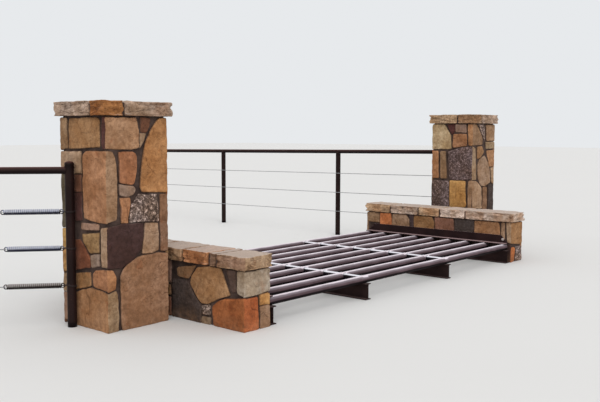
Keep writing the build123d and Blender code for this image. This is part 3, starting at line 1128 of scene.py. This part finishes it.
near_wall_south = {
    "corner_block": ("pale_olive", [
        (245.6, 272.8), (270, 269), (269.6, 291), (262, 293.4), (255, 295), (245.6, 297.6)]),
    "small_gold": ("deep_gold", [(260.6, 295.2), (270, 293), (270, 304), (261, 305)]),
    "orange_corner": ("rust", [(245.8, 299.6), (258.6, 297.8), (259.4, 331), (246, 331)]),
    "low_edge": ("tan", [(261, 307), (271, 305), (271, 330), (261, 330)]),
}

WALL_SNAP = 0.03
WALL_STONE_AREA = 0.030
lay_stones(
    "near_wall", 2, {"west": near_wall_west, "south": near_wall_south},
    {"west": (43, ALONG, ANY_STONE), "east": (44, None, ANY_STONE), "north": (45, None, ANY_STONE)},
    WALL_SNAP, WALL_STONE_AREA,
)

# %% [markdown]
# ## The far pillar and far wall
# Beyond the grid the same stones are smaller in view, so their outlines are simpler. The foot
# of the far wall is hidden by the angle and the pipes and is split at random.

# %% West side of the far pillar
far_pillar_west = {
    "pale_top": ("pale_gold", [
        (432.4, 125.4), (444, 125), (450, 135.6), (451, 148.4), (432.6, 148.6)]),
    "red_point": ("maroon", [(447.2, 125), (454.6, 125), (454, 131), (451.4, 134.6)]),
    "pink_small": ("pink_grey", [(455.6, 125.4), (465.6, 125), (466, 132.6), (455.4, 131.8)]),
    "orange_small": ("orange_tan", [(453.2, 134.4), (465.8, 134.4), (466, 145.4), (452.8, 147.4)]),
    "orange_corner": ("orange_tan", [(467.8, 125.2), (473.2, 125), (473.3, 145), (468, 144.8)]),
    "orange_edge": ("orange_tan", [(432, 151.4), (438, 151.4), (438.2, 177.6), (432, 177)]),
    "pink_strip": ("brown_tan", [(440, 152), (445.4, 151.6), (446, 178), (440, 177.6)]),
    "dark_square": ("dark_speckled", [
        (448.4, 152), (455, 150), (463, 147.6), (473.2, 146.8), (473.3, 179.4), (448.8, 179.4)]),
    "dark_foot": ("dark_speckled", [(431.6, 180.6), (447.6, 181), (448, 206), (431.6, 206)]),
    "golden_foot": ("bright_gold", [(449.4, 181.2), (464.6, 181.6), (465, 207), (449, 207)]),
    "tan_corner": ("tan", [(467.2, 181.8), (473.2, 181.2), (473.3, 208), (467.2, 208)]),
}

# %% South side of the far pillar
far_pillar_south = {
    "orange_corner": ("brown_tan", [
        (473.2, 125), (477.4, 125), (480, 131), (483, 137), (483.2, 144.4), (473.3, 145)]),
    "mottled": ("speckled", [(479.6, 126), (485.4, 126), (485.6, 140), (482.6, 134)]),
    "yellow_top": ("tan", [(487, 126), (496, 125.4), (496, 140.4), (487.4, 140.4)]),
    "tan_small": ("tan", [(486.8, 142), (496, 142), (495.6, 148.4), (487, 148.6)]),
    "golden_small": ("golden", [(478, 147), (483, 146.6), (484.4, 152), (481, 157.6), (478, 158.4)]),
    "dark_square": ("grey_tan", [(473.2, 146.8), (476.4, 149), (477, 179.4), (473.3, 179.4)]),
    "rust_edge": ("orange_tan", [(487.6, 151), (495.6, 150.4), (495.4, 166), (489.6, 166)]),
    "oval": ("pink_tan", [
        (485.4, 156), (488.6, 163), (490, 170), (490.4, 182), (485, 186), (481.4, 184.6),
        (478.8, 178), (478.6, 165), (480.6, 159.6)]),
    "grey_strip": ("grey_tan", [(491.4, 168), (496, 167.6), (496, 182), (491.8, 182)]),
    "tan_corner": ("tan", [(473.2, 181.2), (477, 182), (481.2, 187.6), (482, 208), (473.3, 208)]),
    "brown_strip": ("brown_tan", [(483.2, 188), (487, 187.4), (487.4, 209), (483.2, 209)]),
    "dark_edge": ("charcoal", [(488.6, 185), (495.4, 184), (495.4, 209), (488.6, 209)]),
}

# %% Far pillar stones
FAR_SNAP = 0.045
FAR_GROWTH = 0.012
lay_stones(
    "far_pillar", 3, {"west": far_pillar_west, "south": far_pillar_south},
    {"west": (51, UP, ANY_STONE), "south": (51, UP, ANY_STONE),
     "east": (52, None, ANY_STONE), "north": (53, None, ANY_STONE)},
    FAR_SNAP, more=FAR_GROWTH, step=FAR_STEP,
)

# %% Far wall stones
far_wall_west = {
    "brown_end": ("brown_tan", [(368.4, 211.6), (378.6, 212.4), (379, 222), (369, 221)]),
    "orange_block": ("bright_rust", [(380.4, 213), (390.6, 213.2), (391, 226), (380.4, 225)]),
    "tan_block": ("tan", [(392.6, 214), (405.4, 215), (408.4, 219.6), (408.6, 227), (391.8, 226)]),
    "dark_small": ("charcoal", [(409, 216), (413, 216.4), (413, 227), (409.6, 227)]),
    "orange_brown": ("golden", [(413.8, 216.6), (431, 218.6), (433.4, 222), (433, 230), (414, 228)]),
    "red_block": ("warm_red", [(434.6, 219.2), (452.6, 220.2), (453, 231), (435, 230)]),
    "grey_green": ("charcoal", [(454.6, 220.4), (473, 221.8), (472, 233), (455, 232)]),
    "brown_block": ("orange_tan", [(474.6, 222), (498, 223.8), (499.4, 236), (474, 234)]),
    "pale_strip": ("grey_tan", [(500.6, 224.2), (504.4, 224.8), (504.6, 240), (501, 237)]),
    "pale_corner": ("light_tan", [(506, 225), (512.7, 225.6), (512.7, 243), (507, 242)]),
}
far_wall_south = {
    "pale_corner": ("golden", [(512.7, 225.6), (525, 222), (525, 243), (512.7, 243)]),
}

# the hidden foot of the far wall is split from the darkest colours
lay_stones(
    "far_wall", 4, {"west": far_wall_west, "south": far_wall_south},
    {"west": (54, UP, DARK_FOOT_STONE), "south": (55, UP, ANY_STONE),
     "east": (56, None, ANY_STONE), "north": (57, None, ANY_STONE)},
    FAR_SNAP, WALL_STONE_AREA, FAR_GROWTH, FAR_STEP,
)

# %% [markdown]
# ## Copings and pillar caps
# These are thick slabs of the same stone, split and not sawn: nearly flat on top, rough and
# ledged at the edge. Each slab is a rounded block pushed about by noise, with thin ledges that
# follow its bedding, and the mortar between slabs is a lower block.

# %% One slab
SLAB_JOINT = 0.016
SLAB_ROUND = 0.014
SLAB_SHRINK = 0.001
BITE_SIZE, CHIP_SIZE = 0.085, 0.034
BITE_DEPTH = 0.019
FACE_LEFT = 0.004
LEDGE_STEP = 0.024
LEDGE_DEPTH = 0.012
TOP_WAVE = 0.007
SLAB_CELL = 0.012
SLAB_GRAIN = ((0.035, 0.0018), (0.013, 0.0010))
IRON_LOSS = np.array([0.14, 0.25, 0.33])


def slab(low, high, colour, seed, course):
    """One split slab: a block with chips bitten out of its sides and ledges along its bedding.

    A chip's depth is the size of a noise without its sign, which makes ridges between hollows.
    The depth fades towards the middle of the slab, so that the top only shrinks a little, and
    towards a neighbouring slab, where the side is a joint and not an edge of the course. The
    tint is darker where the depth is greater on an upright side, as painted shade in the chips
    and ledges. A colour is a pair: the stone's own, and a darker one for its west side, which
    is painted shade on that side and its brown hollows.
    """
    low, high = np.array(low), np.array(high)
    outer = np.array([abs(low - course[0]), abs(high - course[1])])[:, :2] < SLAB_JOINT
    low, high = low + SLAB_SHRINK, high - SLAB_SHRINK
    points, faces = block_surface(low, high, SLAB_CELL, SLAB_ROUND)
    reach = (points - (low + high) / 2) / ((high - low) / 2)
    edge = np.where(reach[:, :2] > 0, outer[1], outer[0])
    upright = 1 - abs(reach[:, 2]) ** 8
    bite = abs(lattice_noise(points, BITE_SIZE, seed))
    bite = bite + 0.5 * abs(lattice_noise(points, CHIP_SIZE, seed + 3))
    layer = points * (0.2, 0.2, 1.0)
    ledge = np.clip(3 * lattice_noise(layer, LEDGE_STEP, seed + 7), 0, 1)
    depth = BITE_DEPTH * bite * (0.4 + 0.6 * upright) + LEDGE_DEPTH * ledge * upright
    depth = np.maximum(depth - FACE_LEFT, 0)
    sideways = np.sign(reach[:, :2]) * np.clip((abs(reach[:, :2]) - 0.5) / 0.5, 0, 1)
    sideways *= np.where(edge, 1.0, 0.2)
    moved = points + space_shift(points, SLAB_GRAIN, seed)
    moved[:, :2] -= sideways * depth[:, None]
    moved[:, 2] -= TOP_WAVE * (reach[:, 2] > 0.5) * abs(lattice_noise(points, 0.12, seed + 5))
    # painted shade: darker where chips and ledges cut deeper into an upright side
    tone = 1.16 + 0.14 * lattice_noise(points, 0.10, seed + 2) - 9.0 * depth * upright
    stain = np.clip(2.5 * lattice_noise(points, 0.11, seed + 11) - 0.2, 0, 1)[:, None]
    # west side: the second colour, as painted shade with brown hollows
    west = np.clip((-reach[:, :1] - 0.90) / 0.06, 0, 1) * upright[:, None]
    fresh, weathered = (np.array(STONE[name]) for name in colour)
    tint = (fresh + west * (weathered - fresh)) * tone[:, None] * (1 - stain * IRON_LOSS)
    return moved, faces, np.column_stack([tint, np.ones(len(points))])


# %% A course of slabs
BED_INSET = np.array([0.030, 0.030, 0.0])
BED_DROP = 0.016


def slabs(name, node, layout, seed):
    """All slabs of one course, and the mortar that shows in their joints."""
    low, high = box[node]
    parts, tints = [], []
    for number, (colour, slab_low, slab_high) in enumerate(layout):
        colour = (colour, colour) if isinstance(colour, str) else colour
        points, faces, tint = slab(slab_low, slab_high, colour, seed + 31 * number, (low, high))
        parts.append((np.clip(points, low, high), faces))
        tints.append(tint)
    make_piece(name, together(parts), cap_stone, node, np.vstack(tints))
    bed = block_surface(low + BED_INSET, high - BED_INSET - (0, 0, BED_DROP), 0.04, 0.004)
    make_piece(f"{name}_bed", bed, mortar, node)


# %% Copings
near_joints_seen = {
    "big_to_grey": (214.2, 258),
    "grey_to_orange": (206.8, 256),
    "orange_to_tan": (181.2, 252),
}
far_joints_seen = {
    "first": (464.3, 214),
    "second": (438.5, 211),
    "third": (417, 209),
    "fourth": (389.4, 206),
}
# the first slab's second colour is darker, for its west side: painted shade and brown hollows
near_colours = [("light_tan", "pink_tan"), "pink_grey", "burnt_orange", "grey_tan"]
near_colours += ["grey_tan", "light_tan", "golden"]
far_colours = ["pale_sand", "chalk", "pale_gold", "pale_sand", "pale_gold"]
COPINGS = {
    "near": (200, near_joints_seen, (0.03, -0.04, 0.05), near_colours),
    "far": (300, far_joints_seen, (), far_colours),
}


def coping_layout(low, high, joints_seen, joints_hidden, colours):
    """Slabs in a row along y, from the south end, with their joints.

    The joints in view are carried back from the picture. The hidden ones share out the rest
    of the length evenly, each moved by its own small distance.
    """
    seen = picture_to_plane(list(joints_seen.values()), 0, low[0])[:, 1]
    shared = np.linspace(seen[-1], high[1], len(joints_hidden) + 2)[1:-1]
    joints = np.concatenate([seen, shared + np.array(joints_hidden)])
    print("coping joints at y =", np.round(joints, 3).tolist())
    half = SLAB_JOINT / 2
    ends = np.concatenate([[low[1] - half], joints, [high[1] + half]])
    return [
        (colour, (low[0], a + half, low[2]), (high[0], b - half, high[2]))
        for colour, a, b in zip(colours, ends[:-1], ends[1:])
    ]


for where, (seed, *given) in COPINGS.items():
    node = f"{where}_wall_coping"
    slabs(f"{where}_coping_slabs", node, coping_layout(*box[node], *given), seed)

# %% Pillar caps
CAPS = {
    "near": (400, 0.205, 0.211, 0.34, ("burnt_gold", "grey_sand", "grey_sand", "grey_tan")),
    "far": (500, 0.240, 0.260, 0.36, ("grey_tan", "pale_gold", "grey_sand", "grey_tan")),
}


def cap_layout(low, high, corner_x, corner_y, back_x, colours):
    """Four slabs on a pillar: the corner that the viewer sees is the smallest."""
    half = SLAB_JOINT / 2
    x, y, x_back = low[0] + corner_x, low[1] + corner_y, low[0] + back_x
    corner, west, south, back = colours
    return [
        (corner, (low[0], low[1], low[2]), (x - half, y - half, high[2])),
        (west, (low[0], y + half, low[2]), (x_back - half, high[1], high[2])),
        (south, (x + half, low[1], low[2]), (high[0], y - half, high[2])),
        (back, (x_back + half, y + half, low[2]), (high[0], high[1], high[2])),
    ]


for where, (seed, *given) in CAPS.items():
    node = f"{where}_pillar_cap"
    slabs(f"{where}_cap_slabs", node, cap_layout(*box[node], *given), seed)

# %% [markdown]
# ## Grid pipes
# The grid itself is nine lengths of steel pipe. A cylinder primitive would be flat-sided and
# perfect; these are turned surfaces with a bore that shows at the ends, a rounded rim, and a
# very slight wander along their length, as used pipe has.

# %% Turned and swept surfaces
def turned(profile, start, axis, side, around=40):
    """A profile of (distance along, radius) pairs carried round an axis.

    Each point is start + along * axis + radius * (cos a * side + sin a * third direction).
    """
    profile = np.array(profile, float)
    axis, side = np.array(axis, float), np.array(side, float)
    angle = once_round(around)[:, None]
    ring = np.cos(angle) * side + np.sin(angle) * np.cross(axis, side)
    points = np.array(start) + profile[:, :1, None] * axis + profile[:, 1:, None] * ring
    faces = grid_faces(len(profile), around, round_columns=True)
    return facing_out(points.reshape(-1, 3), faces)


def swept(path, radius, reference, around=8, closed=False):
    """A round section carried along a path.

    The section's two directions are the cross product of the path's direction with a
    reference, and the cross product of the direction with that. Open ends close in a point.
    """
    radius = np.broadcast_to(np.array(radius, float), len(path)).copy()
    if closed:
        direction = np.roll(path, -1, axis=0) - np.roll(path, 1, axis=0)
    else:
        direction = np.gradient(path, axis=0)
        path = np.vstack([path[:1], path, path[-1:]])
        direction = np.vstack([direction[:1], direction, direction[-1:]])
        radius = np.concatenate([[0.0], radius, [0.0]])
    direction /= np.linalg.norm(direction, axis=1, keepdims=True)
    side = np.cross(direction, reference)
    side /= np.linalg.norm(side, axis=1, keepdims=True)
    over = np.cross(direction, side)
    angle = once_round(around)[:, None]
    ring = np.cos(angle) * side[:, None] + np.sin(angle) * over[:, None]
    points = path[:, None] + radius[:, None, None] * ring
    faces = grid_faces(len(path), around, round_rows=closed, round_columns=True)
    return facing_out(points.reshape(-1, 3), faces)


# %% Pipes
PIPE_COUNT = 9
PIPE_WALL = 0.0055
PIPE_RIM = 0.0012
PIPE_STATIONS = 44
PIPE_WANDER = ((0.9, 0.0010), (0.25, 0.0003))

for number in range(1, PIPE_COUNT + 1):
    name = f"grid_pipe_{number}"
    low, high = box[name]
    radius = (high[2] - low[2]) / 2
    bore, length = radius - PIPE_WALL, high[0] - low[0]
    along = np.linspace(PIPE_RIM, length - PIPE_RIM, PIPE_STATIONS)
    outside = [(a, radius) for a in along]
    inside = [(a, bore) for a in along[::-1]]
    profile = [(0, radius - PIPE_RIM), *outside, (length, radius - PIPE_RIM)]
    profile += [(length, bore + PIPE_RIM), *inside, (0, bore + PIPE_RIM), (0, radius - PIPE_RIM)]
    start = (low[0], (low[1] + high[1]) / 2, (low[2] + high[2]) / 2)
    points, faces = turned(profile, start, (1, 0, 0), (0, 1, 0))
    drift = space_shift(points * (1, 0, 0) + (0, number, 0), PIPE_WANDER, 60 + number)
    drift[:, 0] = 0
    make_piece(name + "_steel", (points + drift, faces), grid_steel, name)

# %% [markdown]
# ## Weld beads
# Every spacer is welded to the pipes on both sides. A bead follows the line where two round
# tubes meet: going round the spacer by an angle, the line lies as deep as the pipe's surface
# is at that height. A small round section with ripples is carried along that line.

# %% Spacer welds
SPACER_RADIUS = 0.0302
PIPE_RADIUS = 0.0365
BEAD_RADIUS = 0.0042
BEAD_RIPPLE = 0.0008
BEAD_SHIFT = ((0.02, 0.0008),)

pipe_boxes = [box[f"grid_pipe_{number}"] for number in range(1, PIPE_COUNT + 1)]
axis_height = float(pipe_boxes[0][:, 2].mean())
turn_round = once_round(52)
reach = SPACER_RADIUS + 0.4 * BEAD_RADIUS
across, over = reach * np.cos(turn_round), reach * np.sin(turn_round)
depth = np.sqrt((PIPE_RADIUS + 0.2 * BEAD_RADIUS) ** 2 - over**2)
weld_parts = []
for row, (number, pipe) in product(spacer_rows, enumerate(pipe_boxes)):
    ripple = BEAD_RADIUS + BEAD_RIPPLE * np.sin(turn_round * 19 + number)
    for way in (-1, 1):
        if 0 <= number + way < PIPE_COUNT:
            line = pipe[:, 1].mean() + way * depth
            path = np.column_stack([row + across, line, axis_height + over])
            weld_parts.append(swept(path, ripple, (0, 1, 0), closed=True))
points, faces = together(weld_parts)
points = points + space_shift(points, BEAD_SHIFT, 90)
make_piece("spacer_welds", (points, faces), spacer_steel)

# %% [markdown]
# ## Bolts in the side angles
# One bolt near each end holds each angle to its wall. A washer and a hexagonal head are turned
# surfaces too: the head is the same turning with only six stations around.

# %% Angle bolts
BOLT_INSET = 0.060
BOLT_LEVEL = 0.052
ANGLE_THICKNESS = 0.008
WASHER = [(0, 0), (0, 0.0165), (0.0008, 0.0175), (0.0024, 0.0175), (0.0030, 0.0165), (0.0030, 0)]
HEAD = [(0.0030, 0), (0.0030, 0.0135), (0.0120, 0.0138), (0.0138, 0.0122), (0.0138, 0)]

# bolts: darker underneath and paler on top, as painted shade and highlight
worn_bolt = painted_steel(
    "worn_bolt", (0.26, 0.22, 0.20), (0.40, 0.35, 0.32), (0.44, 0.39, 0.36), (0.50, 0.45, 0.42)
)
bolt_parts = {"angle_bolts": [], "painted_angle_bolts": []}
for node, outward, wall_side in (("near_side_angle", 1, 0), ("far_side_angle", -1, 1)):
    low, high = box[node]
    face_x = (low[0], high[0])[wall_side] + outward * ANGLE_THICKNESS
    for name, y in zip(bolt_parts, (low[1] + BOLT_INSET, high[1] - BOLT_INSET)):
        start = (face_x, y, low[2] + BOLT_LEVEL)
        for profile, around in ((WASHER, 28), (HEAD, 6)):
            bolt_parts[name].append(turned(profile, start, (outward, 0, 0), (0, 1, 0), around))
for (name, parts), finish in zip(bolt_parts.items(), (worn_bolt, angle_steel)):
    bolts = make_piece(name, together(parts), finish)
    bolts.data.polygons.foreach_set("use_smooth", np.zeros(len(bolts.data.polygons), bool))

# %% [markdown]
# ## Fence posts and rails
# The posts are pipe with a domed cap welded on. A post is one turned profile: up the outside,
# over a small bead, and round the dome. The rail keeps its CAD shape, because it is a plain
# pipe, and gets a weld bead where it meets each post.

# %% Fence posts
POST_RADIUS = 0.0365
DOME_HEIGHT = 0.018
CAP_BEAD = ((0.003, 0.0012), (0.006, 0.0018), (0.009, 0.0012), (0.011, 0.0))
CAP_BEAD_HEIGHT = 0.012


def domed_post(low, high):
    """A post's profile: up the side, over the weld bead below the cap, round the dome."""
    dome_foot = high[2] - DOME_HEIGHT
    bead_foot = dome_foot - CAP_BEAD_HEIGHT
    side = np.linspace(low[2], bead_foot, 30)
    arc = np.linspace(0, math.pi / 2, 10)
    profile = [(low[2], 0)] + [(z, POST_RADIUS) for z in side]
    profile += [(bead_foot + up, POST_RADIUS + out) for up, out in CAP_BEAD]
    profile += [(dome_foot + DOME_HEIGHT * math.sin(a), POST_RADIUS * math.cos(a)) for a in arc]
    x, y, _ = (low + high) / 2
    return turned(profile, (x, y, 0), (0, 0, 1), (1, 0, 0), 36)


for node in (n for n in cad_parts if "_post" in n):
    points, faces = domed_post(*box[node])
    post = (np.clip(points, *cad_box), faces)
    make_piece(node + "_steel", post, fence_steel, node)

# %% [markdown]
# ## Places along the near fence
# The near fence runs off at an angle, so its parts don't lie along x or y. They could be made
# straight and turned afterwards, but here every point is worked out in its final place. So
# one function takes a distance along the fence, one across it and a height, and gives the point.

# %% Places along a fence
NEAR_POST = np.array([-0.9139, 0.115, 0.0])
NEAR_TURN = math.radians(141.0)
NEAR_RUN = np.array([math.cos(NEAR_TURN), math.sin(NEAR_TURN), 0.0])


def fence_place(along, across, height, place=NEAR_POST, run=NEAR_RUN):
    """A point of a fence: along its run, across it, and up."""
    over = np.array([-run[1], run[0], 0.0])
    along, across, height = (np.atleast_1d(v)[:, None] for v in (along, across, height))
    return place + along * run + across * over + height * upward


# %% [markdown]
# ## Tension springs
# Each fence cable is kept tight by a coil spring at the near post. A cylinder with stripes
# would look flat, so the wire itself is made: a helix with a round section, closing into a
# hook at each end. The near hook holds a loop of tie wire round the post, the far hook holds
# the eye of the cable.

# %% Coil and hooks
SPRING_OUTSIDE = 0.023
SPRING_WIRE = 0.0054
SPRING_TURNS = 27
TURN_POINTS = 22
SPRING_LINK = 0.034
HOOK_RADIUS = 0.0165
HOOK_WIRE = 0.0042
HOOK_OVERLAP = 0.002
HOOK_SHANK = 0.004
HOOK_BEND = math.pi * np.linspace(-0.12, 1.12, 30)
coil_start = POST_RADIUS + SPRING_LINK


def spring_parts(level, length):
    """The coil as a helix that starts and ends on top, and an open hook at each of its ends.

    A point of the helix goes along evenly with the turns; across and up it is the spread times
    the cosine and sine of its angle. The spread is a fifth less at both ends and eases out to
    the full width within one turn. A hook is a little more than half of a circle.
    """
    turns = np.linspace(0, SPRING_TURNS, SPRING_TURNS * TURN_POINTS + 1)
    angle = 2 * math.pi * (turns + 0.25)
    wide = SPRING_OUTSIDE - SPRING_WIRE
    ease = np.minimum(1, np.minimum(turns, SPRING_TURNS - turns) / 0.8)
    spread = wide * (0.80 + 0.20 * np.sin(ease * math.pi / 2))
    along = coil_start + SPRING_WIRE + turns / SPRING_TURNS * (length - 2 * SPRING_WIRE)
    helix = fence_place(along, spread * np.cos(angle), level + spread * np.sin(angle))
    parts = [swept(helix, SPRING_WIRE, NEAR_RUN, 12)]
    for start, way in ((coil_start + HOOK_OVERLAP, -1), (coil_start + length - HOOK_OVERLAP, 1)):
        reach = start + way * (HOOK_SHANK + HOOK_RADIUS * np.sin(HOOK_BEND))
        path = fence_place(reach, 0, level + HOOK_RADIUS * np.cos(HOOK_BEND))
        parts.append(swept(path, HOOK_WIRE, np.cross(NEAR_RUN, upward)))
    return parts


# %% Ties
TIE_WIRE = 0.003
TIE_SECTION = 0.8 * TIE_WIRE
TIE_SLACK = 0.0003


def tie_parts(level, slope=0.0, centre=0.0):
    """Two rounds of wire on a post of the near fence.

    Each is a circle round the post, and its height rises to one side by a slope times the
    cosine of the angle.
    """
    angle = once_round(60)
    radius = POST_RADIUS + TIE_WIRE + TIE_SLACK
    along, across = centre + radius * np.cos(angle), radius * np.sin(angle)
    parts = []
    for lift in (-0.6, 0.6):
        path = fence_place(along, across, level + lift * TIE_WIRE * 2 + slope * np.cos(angle))
        parts.append(swept(path, TIE_SECTION, upward, closed=True))
    return parts


# %% Spring finishes
def coil_steel(name):
    """Spring wire: the tint of each point, painted lighter above and darker below as light and shade,
    in patches.
    """
    steel = Finish(name)
    tint = steel.node("ShaderNodeAttribute", {"attribute_name": "stone_tint"}, out="Color")
    cloud = steel.patches(45.0, detail=4.0, rough=0.7)
    colour = times(steel, tint, cloud.step(0.3, 0.7), (0.70, 0.68, 0.66), (1.2, 1.2, 1.2))
    return steel.surface(colour, 0.55, steel.bump(cloud, 0.0005, 0.5), 0.15)


spring_finish = coil_steel("spring_wire")
# tie wire: darker underneath and lighter on top, as painted shade and highlight
tie_steel = painted_steel(
    "tie_wire", (0.006, 0.004, 0.004), (0.020, 0.013, 0.012), (0.05, 0.036, 0.034),
    (0.13, 0.10, 0.10),
)
# coil colours: lit on top and in shade below, as painted light and shade
LIT_TOP_TINT = {"grey": (0.27, 0.29, 0.39), "brown": (0.100, 0.074, 0.062)}
SHADED_UNDER_TINT = {"grey": (0.014, 0.016, 0.034), "brown": (0.012, 0.008, 0.007)}

# %% Springs of the near fence
CABLE_HEIGHTS = (0.932, 0.638, 0.338)
SPRING_LENGTHS = (0.438, 0.418, 0.430)
SPRING_KINDS = ("grey", "grey", "brown")
LINK_SINK = 0.001
LINK_TWIST = 0.0025
LINK_SPREAD = 0.003
TIE_SLOPE = 0.004


def coil_inner_shade(points, level, length):
    """0 on the outer side of the coil's wire, 1 on its inner side, which is painted darker as
    shade; more than half on the hooks beyond the coil.
    """
    along = (points - NEAR_POST) @ NEAR_RUN - coil_start
    across = (points - NEAR_POST) @ (-NEAR_RUN[1], NEAR_RUN[0], 0)
    reach = np.hypot(points[:, 2] - level, across)
    inner = np.clip((SPRING_OUTSIDE - 0.8 * SPRING_WIRE - reach) / (0.6 * SPRING_WIRE), 0, 1)
    return np.where((along > 0) & (along < length), inner, 0.7)


link = np.linspace(POST_RADIUS - LINK_SINK, coil_start + HOOK_OVERLAP, 8)
twist = LINK_TWIST * np.cos(np.linspace(0, 6 * math.pi, 8))
for index, (level, length, kind) in enumerate(zip(CABLE_HEIGHTS, SPRING_LENGTHS, SPRING_KINDS)):
    node = f"near_fence_spring_{index + 1}"
    points, faces = together(spring_parts(level, length))
    # painted light: paler above the axis and darker below, and darker on the inner side of the wire
    # as shade
    lift = (points[:, 2] - level) / SPRING_OUTSIDE
    lit_share = np.clip((lift + 0.10) / 0.35, 0, 1)[:, None]
    tint = lit_share * np.array(LIT_TOP_TINT[kind]) + (1 - lit_share) * np.array(SHADED_UNDER_TINT[kind])
    tint *= 1.10 - 1.00 * coil_inner_shade(points, level, length)[:, None]
    tints = np.column_stack([tint, np.ones(len(points))])
    make_piece(node + "_wire", (points, faces), spring_finish, node, tints)
    ties = tie_parts(level, TIE_SLOPE * index)
    for side in (-1, 1):
        path = fence_place(link, side * twist, level + side * LINK_SPREAD)
        ties.append(swept(path, TIE_SECTION, upward))
    make_piece(node + "_tie", together(ties), tie_steel, node)

# %% [markdown]
# ## Fence cables
# A cable is a strand of six wires. Instead of six tubes, one surface is enough: its radius
# rises and falls six times around, and the lobes turn steadily along the length.

# %% Stranded cable
CABLE_RADIUS = 0.0045
STRANDS = 6
LAY_LENGTH = 0.105


def strand(start, end, pieces):
    """A lobed section turned along a line: radius = mean + depth * cos(6 * (angle - turn))."""
    start = np.array(start, float)
    run = np.array(end, float) - start
    length = np.linalg.norm(run)
    run = run / length
    side = np.cross(run, upward)
    side /= np.linalg.norm(side)
    over = np.cross(side, run)
    along = np.linspace(0, length, pieces)
    angle = once_round(3 * STRANDS)
    lobe = np.cos(STRANDS * (angle[None, :] - 2 * math.pi * along[:, None] / LAY_LENGTH))
    radius = CABLE_RADIUS * (0.90 + 0.10 * lobe)
    radius[[0, -1]] = 0.0
    ring = np.cos(angle)[:, None] * side + np.sin(angle)[:, None] * over
    points = start + along[:, None, None] * run + radius[:, :, None] * ring
    return facing_out(points.reshape(-1, 3), grid_faces(pieces, len(angle), round_columns=True))


# %% Near and far cables
NEAR_BAY = 2.520
EYE_RADIUS = 0.009

# cables: grey, darker underneath and lighter on top, as painted shade and highlight
cable_steel = painted_steel(
    "cable_steel", (0.12, 0.12, 0.12), (0.26, 0.26, 0.27), (0.34, 0.34, 0.35),
    (0.42, 0.42, 0.43), 0.6, 0.45, 0.4,
)
loop = once_round(30)
for index, (level, length) in enumerate(zip(CABLE_HEIGHTS, SPRING_LENGTHS)):
    node = f"near_fence_cable_{index + 1}"
    cable_start = coil_start + length + 2 * EYE_RADIUS
    ends = fence_place([cable_start, NEAR_BAY - POST_RADIUS - TIE_WIRE], 0, level)
    eye_along = cable_start + EYE_RADIUS * (np.cos(loop) - 0.4)
    eye = fence_place(eye_along, EYE_RADIUS * np.sin(loop), level)
    parts = [strand(*ends, 240), swept(eye, TIE_WIRE, upward, closed=True)]
    parts += tie_parts(level, centre=NEAR_BAY)
    make_piece(node + "_strand", together(parts), cable_steel, node)

for node in sorted(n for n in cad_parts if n.startswith("far_fence_cable")):
    low, high = box[node]
    x = (low[0] + high[0]) / 2
    cable = strand((x, low[1], high[2] - CABLE_RADIUS), (x, high[1], low[2] + CABLE_RADIUS), 440)
    make_piece(node + "_strand", cable, cable_steel, node)

# %% [markdown]
# ## Welds of the near rail
# The rail's end is cut to lie on the post and is welded all round. So the bead follows the
# line where two round pipes meet, as at the spacers, and is swept along it in the same way.

# %% Rail welds
COLLAR_LIFT, COLLAR_BEAD, COLLAR_RIPPLE = 0.001, 0.0038, 0.0007


def collar(place, run, level, radius):
    """A weld bead where a rail meets a post: the rail's round, lying on the post's round.

    The distance along is the root of a square less the square of the distance across, where
    the first is that of the post's radius and a small lift.
    """
    angle = once_round(48)
    across, lift = radius * np.cos(angle), radius * np.sin(angle)
    along = np.sqrt(np.maximum((POST_RADIUS + COLLAR_LIFT) ** 2 - across**2, 1e-8))
    path = fence_place(along, across, level + lift, place, run)
    return swept(path, COLLAR_BEAD + COLLAR_RIPPLE * np.sin(angle * 15), run, closed=True)


rail_low, rail_high = box["near_fence_rail"]
rail = ((rail_low[2] + rail_high[2]) / 2, (rail_high[2] - rail_low[2]) / 2)
line_post = NEAR_POST + NEAR_BAY * NEAR_RUN
collars = together([collar(NEAR_POST, NEAR_RUN, *rail), collar(line_post, -NEAR_RUN, *rail)])
make_piece("near_rail_welds", collars, fence_steel)

# %% [markdown]
# ## Finish
# A last helper turns a pair of corners into plain lists of numbers.

# %% Sizes and end
def plain(bounds):
    """A pair of corners as plain lists of numbers."""
    return [[float(value) for value in corner] for corner in bounds]
